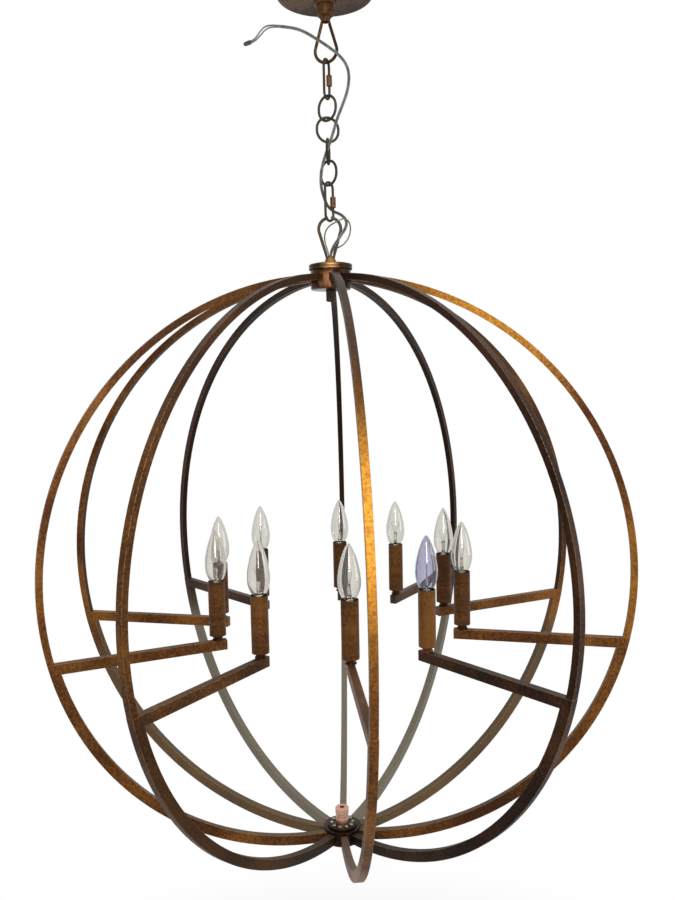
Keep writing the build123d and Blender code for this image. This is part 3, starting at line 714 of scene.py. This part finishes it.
# a shaded copy for the back lower ribs, darker all over as painted shade, with a grey painted reflection
# below the arms and on the inner faces
BACK_RIB_SHADE_AND_SHEEN_BRONZE = AgedBronze(
    "back rib shade and sheen bronze",
    dark="2A1B13",
    body="47301F",
    bright="68492C",
    # a dark edge colour: painted shade along the ribs' outlines
    wear_and_edge_light="57503F",
    inside="4A4238",
    inner_shade_and_sheen_share=0.4,
    painted_bowl_share=0.75,
)
HUB_BRONZE = AgedBronze(
    "hub bronze",
    dark="1A110C",
    body="301E16",
    bright="503426",
    wear_and_edge_light="8A5E44",
    # the colour of the painted highlight
    gold="A9714C",
    metallic=0.7,
    roughness=0.22,
    mottle=60.0,
    grain=300.0,
    speckled=0.0,
    # a painted highlight: a copper-pink glint on the hub's body, left of its front
    painted_highlights=(PaintedHighlight((-0.011, -0.029, HUB_Z - 0.016), 0.017, 0.9),),
    dust_and_sheen_share=0.0,
    edge_light_and_wear_share=0.15,
    pit_depth=0.00002,
)
CAP_BRONZE = replace(
    HUB_BRONZE,
    name="hub cap bronze",
    dark="2A1B10",
    body="402A18",
    bright="5C4022",
    wear_and_edge_light="9A7038",
    # the colour of the painted highlight
    gold="C29660",
    metallic=0.6,
    roughness=0.3,
    contrast=(0.3, 0.7),
    # a painted highlight: a golden glint on the front of the hub's cap
    painted_highlights=(PaintedHighlight((-0.004, -0.034, HUB_Z + 0.004), 0.02, 0.85),),
    edge_light_and_wear_share=0.1,
)
LOOP_BRONZE = replace(
    HUB_BRONZE,
    name="hub loop bronze",
    dark="3E3026",
    body="58473A",
    bright="746050",
    # the colour of the painted highlight
    gold="C99A54",
    metallic=0.45,
    roughness=0.48,
    grain=200.0,
    contrast=(0.25, 0.75),
    # a painted highlight: a brass glint on the hub's neck
    painted_highlights=(PaintedHighlight((0.0, -0.008, HUB_Z + 0.013), 0.009, 0.7),),
    edge_radius=0.0005,
    edge_light_and_wear_share=0.0,
    pit_depth=0.00001,
)
CHAIN_BRONZE = replace(
    LOOP_BRONZE,
    name="chain bronze",
    dark="332D27",
    body="4A4239",
    bright="645B50",
    metallic=0.4,
    roughness=0.52,
    painted_highlights=(),
)
NUT_BRONZE = AgedBronze(
    "hub nut bronze",
    dark="0F0C0A",
    body="1F1812",
    bright="382C20",
    wear_and_edge_light="5A4733",
    dust_and_sheen_share=0.0,
    edge_light_and_wear_share=0.2,
    pit_depth=0.00003,
)
LINK_NUT_BRONZE = AgedBronze(
    "link nut bronze",
    dark="38261A",
    body="543A28",
    bright="735339",
    metallic=0.6,
    contrast=(0.3, 0.7),
    speckled=0.2,
    edge_light_and_wear_share=0.1,
    pit_depth=0.00002,
)
CANOPY_BRONZE = AgedBronze(
    "canopy bronze", dark="2A1B11", body="4E3520", bright="76552F", wear_and_edge_light="A87E4C", edge_light_and_wear_share=0.5
)
SLEEVE_BRONZE = AgedBronze(
    "sleeve bronze",
    dark="432813",
    body="5C3A1C",
    bright="7E5327",
    # a dark edge colour: a painted shade at the sleeves' ends
    wear_and_edge_light="22150D",
    edge_light_and_wear_share=0.9,
    edge_radius=0.0016,
    mottle=320.0,
    bands=160.0,
    speckled=0.4,
    metallic=0.2,
    roughness=0.36,
    dust_and_sheen_share=0.0,
)
COLLAR_BRONZE = AgedBronze(
    "collar bronze",
    dark="22130C",
    body="43271A",
    bright="6C422E",
    # a painted copper glint along the collars' edges, partly wear
    wear_and_edge_light="9A6A4C",
    edge_light_and_wear_share=0.3,
    metallic=0.6,
    roughness=0.26,
    dust_and_sheen_share=0.0,
)
COPPER = PlatedMetal("copper", tone="B06B35", dull="6B3B1E", roughness=0.34)
BRIGHT_STEEL = PlatedMetal("bright steel", tone="A8A49A", dull="5E5A52", roughness=0.3)
ZINC = PlatedMetal("zinc plate", tone="AEACA6", dull="77756F", roughness=0.38)
CAP_BRASS = PlatedMetal("cap brass", tone="C9B27A", dull="8A7547", roughness=0.26)
FILAMENT = PlatedMetal("filament and leads", tone="6E6C68", dull="3C3A38", roughness=0.35)
LAMPHOLDER_BLACK = Moulding("lampholder black")
CONTACT_BLACK = Moulding("contact insulator", tone="101012", roughness=0.25)
TAPE_BLACK = Moulding("insulating tape", tone="3A3D3A", dust="757A75", roughness=0.42, pebble=900.0)
# each glass with its painted shade colour at the outline
CLEAR_GLASS = BulbGlass("clear bulb glass", clear="EAE8E3", rim="B1AEA7")
VIOLET_GLASS = BulbGlass("violet bulb glass", clear="D0CFDD", rim="9D9CAE")
STEM_GLASS = BulbGlass("stem glass", clear="D9D6CC", rim="7C776B", roughness=0.12)
FLEX_SHEATH = ClearSheath("flex sheath")
EARTH_SHEATH = ClearSheath("earth sheath", bright="A6A898", body="7A7C6E", shade="41443C")
FLOOR_WHITE = PaleFloor("floor white")

LAY = "lay"  # the attribute that holds the metres along a wire, and the angle around it
CURVE_STEPS = 16
WIRE_SIDES = 14
FLEX_SIDES = 12  # of each of its two wires
END_SHARE = 0.82  # of a wire's radius, at its cut ends


class Slot(Enum):
    """Names of the record's material slots; the wires are handed one, which nothing reads."""

    BULB = "bulb_glass"
    FLEX = "flex_sheath"
    EARTH = "earth_sheath"
    TAPE = "tape"


# ---- mesh code


def piece_from(name: str, shape: bmesh.types.BMesh, finishes: Sequence[Finish]) -> bpy.types.Object:
    """A smooth-shaded object from a finished bmesh.

    Args:
        name: the piece's name.
        shape: its mesh, which is used up.
        finishes: one for each material number.

    Returns:
        The object, in the scene.
    """
    bmesh.ops.recalc_face_normals(shape, faces=shape.faces)
    mesh = bpy.data.meshes.new(name)
    shape.to_mesh(mesh)
    shape.free()
    for finish in finishes:
        mesh.materials.append(finish.material())
    mesh.polygons.foreach_set("use_smooth", [True] * len(mesh.polygons))
    made = bpy.data.objects.new(name, mesh)
    bpy.context.scene.collection.objects.link(made)
    return made


def circle(radius: float, sides: int) -> list[Span]:
    """The corners of a circle about the origin."""
    angles = [FULL_TURN * i / sides for i in range(sides)]
    return [(radius * math.cos(angle), radius * math.sin(angle)) for angle in angles]


def walled(shape: bmesh.types.BMesh, rings: Sequence[Sequence[bmesh.types.BMVert]], number: int = 0) -> None:
    """Join rings of equally many vertices with faces.

    Args:
        shape: the mesh that they are in.
        rings: the rings, from one end to the other.
        number: the faces' material number.
    """
    for lower, upper in zip(rings, rings[1:]):
        for i, first in enumerate(lower):
            j = (i + 1) % len(lower)
            shape.faces.new((first, lower[j], upper[j], upper[i])).material_index = number


def turned(shape: bmesh.types.BMesh, outline: Outline, sides: int, number: int = 0) -> None:
    """Turn an outline about Z, as on a lathe.

    Args:
        shape: the mesh that it is added to.
        outline: from one end to the other; a radius of 0 closes it.
        sides: faces around.
        number: their material number.
    """
    rings = []
    for radius, height in outline:
        if radius <= 0:
            rings.append([shape.verts.new((0, 0, height))])
            continue
        rings.append([shape.verts.new((x, y, height)) for x, y in circle(radius, sides)])
    for lower, upper in zip(rings, rings[1:]):
        for i in range(sides):
            j = (i + 1) % sides
            corners = [ring[k % len(ring)] for ring, k in ((lower, i), (lower, j), (upper, j), (upper, i))]
            distinct = list(dict.fromkeys(corners))
            if len(distinct) > 2:
                shape.faces.new(distinct).material_index = number


def wire_line(points: Iterable[Triple], height: float = 0.0) -> list[Vector]:
    """A smooth line from a route: a NURBS spline with the route's points as its control points.

    Args:
        points: the route, in metres.
        height: added to each point's height.

    Returns:
        Points along the line, close together.
    """
    route = list(points)
    curve = bpy.data.curves.new("route", "CURVE")
    curve.dimensions = "3D"
    curve.resolution_u = CURVE_STEPS
    spline = curve.splines.new("NURBS")
    spline.points.add(len(route) - 1)
    for point, (x, y, z) in zip(spline.points, route):
        point.co = (x, y, z + height, 1.0)
    spline.order_u = 3
    spline.use_endpoint_u = True
    holder = bpy.data.objects.new("route", curve)
    bpy.context.scene.collection.objects.link(holder)
    bpy.context.view_layer.update()
    mesh = bpy.data.meshes.new_from_object(holder)
    line = [vertex.co.copy() for vertex in mesh.vertices]
    bpy.data.objects.remove(holder)
    bpy.data.curves.remove(curve)
    bpy.data.meshes.remove(mesh)
    return line


def swept(
    shape: bmesh.types.BMesh,
    line: Sequence[Vector],
    radius: float,
    sides: int,
    offset: float = 0.0,
    number: int = 0,
) -> None:
    """Sweep a round wire along a line, with slightly smaller ends and its lay attribute.

    Args:
        shape: the mesh that it is added to.
        line: the line's points.
        radius: of the wire.
        sides: faces around.
        offset: how far beside the line it runs, in the plane of the picture.
        number: the faces' material number.
    """
    lay = shape.verts.layers.float_vector.get(LAY) or shape.verts.layers.float_vector.new(LAY)
    rings: list[list[bmesh.types.BMVert]] = []
    along = 0.0
    last = len(line) - 1
    for i, point in enumerate(line):
        ahead = (line[min(i + 1, last)] - line[max(i - 1, 0)]).normalized()
        side = ahead.cross(Vector((0, 1, 0))).normalized()
        up = side.cross(ahead)
        along += (point - line[i - 1]).length if i else 0.0
        middle = point + side * offset
        ring = []
        for k, (x, y) in enumerate(circle(radius * (END_SHARE if i in (0, last) else 1.0), sides)):
            vertex = shape.verts.new(middle + side * x + up * y)
            vertex[lay] = (along, FULL_TURN * k / sides, 0.0)
            ring.append(vertex)
        rings.append(ring)
    walled(shape, rings, number)
    for ring in (rings[0][::-1], rings[-1]):
        shape.faces.new(ring).material_index = number


# ---- camera and studio


@dataclass
class PhotoCamera:
    """The camera where the photograph was taken from."""

    place: Triple = (-0.09912, -1.3395, -0.59141)
    yaw: float = 4.44  # degrees to the right of +Y
    pitch: float = -5.236
    roll: float = -1.195
    lens: float = 34.085  # millimetres, on a sensor 36 mm along the longer side

    def stand(self) -> None:
        """Set the camera up."""
        yaw, pitch, roll = (math.radians(a) for a in (self.yaw, self.pitch, self.roll))
        ahead = Vector((math.sin(yaw) * math.cos(pitch), math.cos(yaw) * math.cos(pitch), math.sin(pitch)))
        right = Vector((math.cos(yaw), -math.sin(yaw), 0))
        up = right.cross(ahead)
        across = right * math.cos(roll) + up * math.sin(roll)
        upward = up * math.cos(roll) - right * math.sin(roll)
        data = bpy.data.cameras.new("camera")
        data.lens = self.lens
        data.sensor_width = 36.0
        data.sensor_fit = "AUTO"
        data.clip_end = 50.0
        camera = bpy.data.objects.new("camera", data)
        turn = Matrix((across, upward, -ahead)).transposed().to_4x4()
        camera.matrix_world = Matrix.Translation(self.place) @ turn
        bpy.context.scene.collection.objects.link(camera)
        bpy.context.scene.camera = camera
        log.info("camera at %s", self.place)


@dataclass
class Lamp:
    """A soft area lamp."""

    name: str
    place: Triple
    watts: float
    width: float
    height: float
    tone: Triple = (1.0, 1.0, 1.0)

    def hang(self, target: Vector) -> None:
        """Hang the lamp, turned to what it lights.

        Args:
            target: the point that it faces.
        """
        data = bpy.data.lights.new(self.name, "AREA")
        data.energy = self.watts
        data.shape = "RECTANGLE"
        data.size = self.width
        data.size_y = self.height
        data.color = self.tone
        lamp = bpy.data.objects.new(self.name, data)
        lamp.location = self.place
        lamp.rotation_euler = (target - Vector(self.place)).to_track_quat("-Z", "Y").to_euler()
        bpy.context.scene.collection.objects.link(lamp)


@dataclass
class Studio:
    """Plain soft light, a white surround and a pale floor."""

    floor_height: float = -2.4
    floor_half: float = 14.0
    ambient: float = 0.2  # what the surround gives to matt surfaces
    lamps: tuple[Lamp, ...] = (
        Lamp("key lamp", (0.0, -1.8, -0.1), 22.0, 0.4, 1.1, (1.0, 0.94, 0.86)),
        Lamp("right lamp", (1.9, -0.5, -0.7), 7.0, 0.9, 0.9),
        Lamp("top lamp", (0.3, 0.3, 1.0), 4.0, 0.9, 0.9),
    )

    def build(self) -> None:
        """Light the scene and lay its floor."""
        scene = bpy.context.scene
        scene.view_settings.view_transform = "Standard"
        self._surround(scene)
        for lamp in self.lamps:
            lamp.hang(Vector((0, 0, ORB_Z + 0.1)))
            log.info("%s, %.0f W", lamp.name, lamp.watts)
        self._floor()

    def _surround(self, scene: bpy.types.Scene) -> None:
        """White to the camera, in gloss and through glass, and an even soft light on the rest.

        Args:
            scene: the scene that it surrounds.
        """
        world = bpy.data.worlds.new("surround")
        world.use_nodes = True
        scene.world = world
        bench = Bench(world.node_tree)
        strength = self.ambient + bench.in_sight() * (1.0 - self.ambient)
        sky = bench.node("ShaderNodeBackground", {}, {"Color": WHITE, "Strength": strength})
        bench.node("ShaderNodeOutputWorld", {}, {"Surface": sky})

    def _floor(self) -> None:
        """The pale floor under the object."""
        shape = bmesh.new()
        half = self.floor_half
        corners = ((-half, -half), (half, -half), (half, half), (-half, half))
        shape.faces.new([shape.verts.new((x, y, self.floor_height)) for x, y in corners])
        piece_from("floor", shape, (FLOOR_WHITE,))
        log.info("floor at %.2f m", self.floor_height)


# ---- flex and wires


def laid(
    name: str,
    route: Iterable[Triple],
    node: str,
    slot: Slot,
    finish: Finish,
    radius: float,
    sides: int = WIRE_SIDES,
    offsets: Sequence[float] = (0.0,),
    **cord: object,
) -> None:
    """Lay a cord of one or more wires side by side, and put it on the orb.

    Args:
        name: the piece's name.
        route: its route, with heights from the hub.
        node: the model's node that it stands for.
        slot: its material slot, which is not used.
        finish: its finish.
        radius: of each wire.
        sides: faces around each wire.
        offsets: how far each wire runs beside the route.
        cord: its length and diameter, and what its far end is.
    """
    line = wire_line(route, HUB_Z)
    shape = bmesh.new()
    for offset in offsets:
        swept(shape, line, radius, sides, offset)
    piece = piece_from(name, shape, (finish,))
    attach(piece, "orb")
    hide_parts(node)
    log.info("%s, %.0f mm", name, cord["length"] / MM)


@dataclass
class Flex:
    """The twin flex, from the hub's neck round the hub's loop and up beside the chain."""

    width: float = 0.0046
    length: float = 0.446
    route: tuple[Triple, ...] = (
        (0.0, -0.0018, 0.015), (0.0003, -0.0022, 0.025), (0.005, -0.0065, 0.036),
        (0.015, -0.009, 0.050), (0.025, -0.0065, 0.064), (0.0265, 0.001, 0.077),
        (0.0185, 0.009, 0.087), (0.007, 0.0145, 0.092), (-0.002, 0.013, 0.1005),
        (-0.0075, 0.0065, 0.112), (-0.0125, -0.002, 0.127), (-0.012, -0.007, 0.147),
        (-0.007, -0.009, 0.167), (0.003, -0.0085, 0.192), (0.0085, -0.008, 0.208),
        (0.014, -0.0085, 0.226), (0.021, -0.0075, 0.242), (0.030, -0.0085, 0.264),
        (0.034, -0.0105, 0.285), (0.031, -0.013, 0.302), (0.020, -0.0155, 0.316),
        (0.002, -0.016, 0.329), (-0.017, -0.0145, 0.3415), (-0.034, -0.0125, 0.352),
        (-0.051, -0.0115, 0.3575), (-0.069, -0.011, 0.359),
    )

    def build(self) -> None:
        """Lay the flex as two wires side by side."""
        core = self.width / 4
        sizes = {"length": self.length, "diameter": self.width, "far_end": "bare"}
        wires = {"radius": core, "sides": FLEX_SIDES, "offsets": (-core, core)}
        laid("twin_flex", self.route, "flex", Slot.FLEX, FLEX_SHEATH, **wires, **sizes)


@dataclass
class TapedTip:
    """The tape that is wound round the ends of the flex's two leads."""

    start: Triple = (-0.113, -0.010, 0.3366)
    end: Triple = (-0.124, -0.010, 0.3325)
    radius: float = 0.0033
    turns: int = 4
    lap: float = 0.0003
    laps_from: float = 0.08  # shares of the tape's length
    laps_to: float = 0.80

    def build(self) -> bpy.types.Object:
        """Wind the tape in overlapping turns to a pinched end.

        Returns:
            The tape.
        """
        start, end = Vector(self.start), Vector(self.end)
        length = (end - start).length
        mouth = [(0.0, 0.0002), (self.radius * 0.8, 0.0), (self.radius * 0.97, 0.0004)]
        low, turn = length * self.laps_from, length * (self.laps_to - self.laps_from) / self.turns
        laps = []
        for i in range(self.turns):
            laps += [(self.radius, low + turn * i), (self.radius - self.lap, low + turn * (i + 1) - 0.0001)]
        tip = [(self.radius * 0.8, length * 0.86), (self.radius * 0.45, length * 0.97), (0.0, length)]
        shape = bmesh.new()
        turned(shape, mouth + laps + tip, 24)
        aim = (end - start).to_track_quat("Z", "Y").to_matrix().to_4x4()
        shape.transform(Matrix.Translation(start + Vector((0, 0, HUB_Z))) @ aim)
        piece = piece_from("taped_tip", shape, (TAPE_BLACK,))
        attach(piece, "orb")
        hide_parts("lead_tape")
        log.info("taped tip, %d turns", self.turns)
        return piece


@dataclass
class Leads:
    """The flex's two wires past the point where they part, up to the tape."""

    diameter: float = 0.0022
    upper: tuple[Triple, ...] = (
        (-0.069, -0.011, 0.36015), (-0.081, -0.0107, 0.36115), (-0.092, -0.010, 0.3592),
        (-0.1003, -0.0096, 0.3505), (-0.10726, -0.010, 0.33997), (-0.11335, -0.010, 0.3377),
    )
    lower: tuple[Triple, ...] = (
        (-0.0692, -0.011, 0.35786), (-0.081, -0.0107, 0.35885), (-0.0905, -0.011, 0.3546),
        (-0.0982, -0.011, 0.3463), (-0.10646, -0.010, 0.33781), (-0.11255, -0.010, 0.33554),
    )
    lengths: Span = (0.054, 0.052)

    def build(self, tape: bpy.types.Object) -> None:
        """Lay both leads into the tape.

        Args:
            tape: the taped tip, which both of them end in.
        """
        names, routes = ("upper_lead", "lower_lead"), (self.upper, self.lower)
        sizes = {"radius": self.diameter / 2, "diameter": self.diameter}
        end = {"far_end": "connector", "with_pieces": [tape]}
        for name, route, length in zip(names, routes, self.lengths):
            laid(name, route, "flex_leads", Slot.FLEX, FLEX_SHEATH, length=length, **sizes, **end)


@dataclass
class EarthWire:
    """The thin wire that loops out of the hub's neck and back into it."""

    diameter: float = 0.0022
    length: float = 0.167
    route: tuple[Triple, ...] = (
        (-0.0019, 0.0024, 0.015), (-0.0022, 0.0028, 0.026), (-0.006, 0.0045, 0.038),
        (-0.0085, 0.0045, 0.049), (-0.0065, 0.003, 0.061), (0.0, -0.0015, 0.0685),
        (0.011, -0.008, 0.073), (0.021, -0.009, 0.078), (0.030, -0.005, 0.074),
        (0.033, 0.001, 0.062), (0.0295, 0.005, 0.049), (0.021, 0.0065, 0.0395),
        (0.012, 0.006, 0.035), (0.005, 0.0044, 0.033), (0.002, 0.0028, 0.025),
        (0.0019, 0.0024, 0.015),
    )

    def build(self) -> None:
        """Lay the wire."""
        sizes = {"radius": self.diameter / 2, "length": self.length, "diameter": self.diameter}
        laid("earth_loop", self.route, "earth_wire", Slot.EARTH, EARTH_SHEATH, far_end="object", **sizes)


# ---- bulbs


@dataclass
class Bulb:
    """A clear torpedo bulb on a small screw cap, with its heights taken from the top of the cap."""

    letter: str
    place: Vector
    turn: float  # radians, about its own axis
    glass: Finish = CLEAR_GLASS
    neck: float = 0.0068
    widest: float = 0.0164
    widest_at: float = 0.027
    height: float = 0.080
    wall: float = 0.0007
    stem: Outline = (
        (0.0, 0.0015), (0.0052, 0.0010), (0.0054, 0.0020), (0.0036, 0.0055), (0.0026, 0.0105),
        (0.0024, 0.0170), (0.0027, 0.0200), (0.0024, 0.0232), (0.0, 0.0240),
    )
    pinched: Span = (0.014, 0.020)  # heights where the stem's pinch starts and is full
    lead_foot: Triple = (0.0018, 0.0, 0.0225)
    lead_bend: Triple = (0.0024, 0.0, 0.0265)
    lead_top: Triple = (0.0068, 0.0, 0.0400)
    lead_radius: float = 0.00028
    hook: float = 0.0006
    support_radius: float = 0.0002
    arch: float = 0.0042  # how far the filament's middle stands above its ends
    coils: int = 22
    coil_radius: float = 0.0004
    coil_wire: float = 0.00011
    shell_radius: float = 0.0059
    shell: Span = (-0.0026, -0.0165)  # heights of the thread's two ends
    flange: float = 0.0008
    thread_depth: float = 0.00035
    thread_pitch: float = 0.0026
    nose: Outline = ((0.0052, -0.0182), (0.0040, -0.0190))  # of the shell, past its thread
    insulator: Outline = ((0.0032, -0.0199), (0.0024, -0.0201))
    contact: Outline = ((0.0021, -0.0214), (0.0011, -0.0219), (0.0, -0.0220))

    def outline(self) -> list[Span]:
        """The glass's outline.

        Returns:
            Its radii and heights, from the cap to the tip.
        """
        low = Vector((self.neck, 0.0))
        middle = Vector((self.widest, self.widest_at))
        tip = Vector((0.0, self.height))
        flare = Vector((1.62 * self.neck, 0.16 * self.widest_at))
        belly = Vector((self.widest, 0.5 * self.widest_at))
        waist = Vector((self.widest, 1.7 * self.widest_at))
        point = Vector((0.4 * self.widest, 0.988 * self.height))
        lower = geometry.interpolate_bezier(low, flare, belly, middle, 14)
        upper = geometry.interpolate_bezier(middle, waist, point, tip, 22)
        return [(max(radius, 0.0), height) for radius, height in lower[:-1] + upper]

    def _glass_shape(self) -> bmesh.types.BMesh:
        """The envelope, with its wall's inner face.

        Returns:
            A new mesh, with the bulb's axis on Z.
        """
        outside = self.outline()
        inside = [
            (max(radius - self.wall, 0.0), height - self.wall * height / self.height)
            for radius, height in outside
        ]
        shape = bmesh.new()
        turned(shape, outside[::-1] + inside[:-1] + [(0.0, self.height - self.wall)], 48)
        return shape

    def _stem_shape(self) -> bmesh.types.BMesh:
        """The stem: a flare at the cap, a tube and the pinched press that holds the leads.

        Returns:
            A new mesh, with the bulb's axis on Z.
        """
        shape = bmesh.new()
        turned(shape, self.stem, 28)
        start, full = self.pinched
        for vertex in shape.verts:
            pinch = min(max((vertex.co.z - start) / (full - start), 0.0), 1.0)
            vertex.co.y *= 1.0 - 0.6 * pinch
            vertex.co.x *= 1.0 + 0.35 * pinch
        return shape

    def _wire_shape(self) -> bmesh.types.BMesh:
        """The two leads, their hooks, the centre support and the coiled filament between them.

        Returns:
            A new mesh, with the bulb's axis on Z.
        """
        shape = bmesh.new()
        foot, bend, top = (Vector(point) for point in (self.lead_foot, self.lead_bend, self.lead_top))
        lead = [foot, bend] + [bend.lerp(top, share) for share in (0.35, 0.7, 1.0)]
        lead.append(top + Vector((self.hook, 0.0, self.hook)))
        for side in (-1, 1):
            swept(shape, [Vector((side * x, y, z)) for x, y, z in lead], self.lead_radius, 8)
        peak = top.z + self.arch + self.support_radius
        support = (Vector((0.0, 0.0, foot.z)), Vector((0.0, 0.0006, 0.032)), Vector((0.0, 0.0, peak)))
        swept(shape, support, self.support_radius, 6)
        swept(shape, self._coil_line(), self.coil_wire, 5)
        return shape

    def _coil_line(self) -> list[Vector]:
        """The filament's line, between the tops of the leads.

        Returns:
            Its points, eight to a turn.
        """
        reach, _, rise = self.lead_top
        steps = 8
        line = []
        for i in range(self.coils * steps + 1):
            share = i / (self.coils * steps)
            angle = FULL_TURN * i / steps
            height = rise + self.arch * math.sin(math.pi * share) + self.coil_radius * math.sin(angle)
            line.append(Vector((reach * (2 * share - 1), self.coil_radius * math.cos(angle), height)))
        return line

    def _cap_shape(self) -> bmesh.types.BMesh:
        """The threaded cap with its flange, insulator and solder contact.

        Returns:
            A new mesh, with the bulb's axis on Z.
        """
        shape = bmesh.new()
        sides, rows, runout = 40, 64, 6
        top, bottom = self.shell
        rings = []
        for row in range(rows + 1):
            height = top + (bottom - top) * row / rows
            fade = min(row, rows - row, runout) / runout
            ring = []
            for k, (x, y) in enumerate(circle(1.0, sides)):
                phase = FULL_TURN * (height / self.thread_pitch - k / sides)
                radius = self.shell_radius - self.thread_depth * (0.5 - 0.5 * math.cos(phase)) * fade
                ring.append(shape.verts.new((radius * x, radius * y, height)))
            rings.append(ring)
        walled(shape, rings)
        rim = [(0.0, -0.0001), (self.neck - 0.0006, -0.0001), (self.neck, -0.0004)]
        rim += [(self.neck - 0.0004, -self.flange), (self.shell_radius, -0.0013), (self.shell_radius, top)]
        turned(shape, rim, sides)
        turned(shape, ((self.shell_radius, bottom), *self.nose), sides)
        turned(shape, (self.nose[-1], *self.insulator), sides, 1)
        turned(shape, (self.insulator[-1], *self.contact), sides)
        bmesh.ops.remove_doubles(shape, verts=shape.verts, dist=0.00002)
        return shape

    def build(self) -> None:
        """Make the bulb's pieces and screw it into its lampholder."""
        spot = Matrix.Translation(self.place) @ Matrix.Rotation(self.turn, 4, "Z")
        made = (
            ("glass", self._glass_shape(), (self.glass,)),
            ("stem", self._stem_shape(), (STEM_GLASS,)),
            ("filament", self._wire_shape(), (FILAMENT,)),
            ("cap", self._cap_shape(), (CAP_BRASS, CONTACT_BLACK)),
        )
        for part, shape, finishes in made:
            shape.transform(spot)
            piece = piece_from(f"bulb_{self.letter}_{part}", shape, finishes)
            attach(piece, f"bulb_{self.letter}")
            if part == "glass":
                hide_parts(f"bulb_{self.letter}")
        log.info("bulb %s", self.letter)


@dataclass
class Bulbs:
    """The ten bulbs, one in each lampholder."""

    violet: str = "h"
    cap_below: float = 0.0220
    turn: float = 37.0  # degrees from each bulb to the next, so that their filaments differ

    def build(self) -> None:
        """Build the bulbs where the model has them."""
        for i, letter in enumerate(RIB_LETTERS):
            low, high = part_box(f"bulb_{letter}")
            middle = (low + high) / 2
            place = Vector((middle.x, middle.y, low.z + self.cap_below))
            glass = VIOLET_GLASS if letter == self.violet else CLEAR_GLASS
            Bulb(letter, place, math.radians(self.turn * i), glass).build()


# ---- nodes that keep their shape


@dataclass
class DressedNodes:
    """The model's own metal and plastic pieces, each with its finish."""

    # lit and shaded copies of one rib bronze, one to a rib: shaded copies on ribs turned from the lamps,
    # painted highlights on the front and right ribs
    upper: tuple[Finish, ...] = (
        *(RIB_BRONZE,) * 2,
        *(SHADED_RIB_BRONZE,) * 3,
        HALF_SHADED_RIB_BRONZE,
        RIGHT_RIB_BRONZE,
        SHADED_RIB_BRONZE,
        FRONT_RIB_BRONZE,
        HALF_SHADED_RIB_BRONZE,
    )
    lower: tuple[Finish, ...] = (
        LOWER_RIB_BRONZE,
        GREY_SHEEN_RIB_BRONZE,
        *(BACK_RIB_SHADE_AND_SHEEN_BRONZE,) * 3,
        GREY_SHEEN_RIB_BRONZE,
        LOWER_RIB_BRONZE,
        SHADED_RIB_BRONZE,
        FRONT_RIB_BRONZE,
        HALF_SHADED_LOWER_BRONZE,
    )

    def _finishes(self) -> dict[str, Finish]:
        """Choose each node's finish.

        Returns:
            The finishes, by their nodes' names.
        """
        chosen: dict[str, Finish] = {}
        for letter, upper, lower in zip(RIB_LETTERS, self.upper, self.lower):
            chosen |= {f"upper_rib_{letter}": upper, f"lower_rib_{letter}": lower}
        groups: dict[Finish, tuple[str, ...]] = {
            HUB_BRONZE: ("top_hub", "bottom_hub", "hub_plate"),
            NUT_BRONZE: ("hub_nut",),
            CAP_BRONZE: ("hub_cap",),
            LOOP_BRONZE: ("hub_loop",),
            COLLAR_BRONZE: ("candle_collars",),
            COPPER: ("hub_coupling",),
            BRIGHT_STEEL: ("hub_screws",),
            SLEEVE_BRONZE: ("candle_sleeves",),
            CANOPY_BRONZE: ("canopy", "screw_collar", "canopy_loop"),
            ZINC: ("crossbar", "threaded_rod", "rod_nut", "lampholder_nipples"),
            LAMPHOLDER_BLACK: ("lampholders",),
            CHAIN_BRONZE: ("top_quick_link", "bottom_quick_link", *(f"chain_link_{i}" for i in range(1, 5))),
            LINK_NUT_BRONZE: ("top_quick_link_nut", "bottom_quick_link_nut"),
        }
        for finish, names in groups.items():
            chosen |= {name: finish for name in names}
        return chosen

    def build(self) -> None:
        """Dress the nodes."""
        for name, finish in self._finishes().items():
            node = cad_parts[name]
            for holder in node.material_slots:
                holder.link = "OBJECT"
                holder.material = finish.material()
            log.info("%s in %s", name, finish.name)


def main() -> None:
    """Build the camera, the studio and the pieces, and note the sizes."""
    logging.basicConfig(level=logging.INFO, format="%(message)s")
    PhotoCamera().stand()
    Studio().build()
    Flex().build()
    tape = TapedTip().build()
    Leads().build(tape)
    EarthWire().build()
    DressedNodes().build()
    Bulbs().build()


if __name__ == "__main__":
    main()
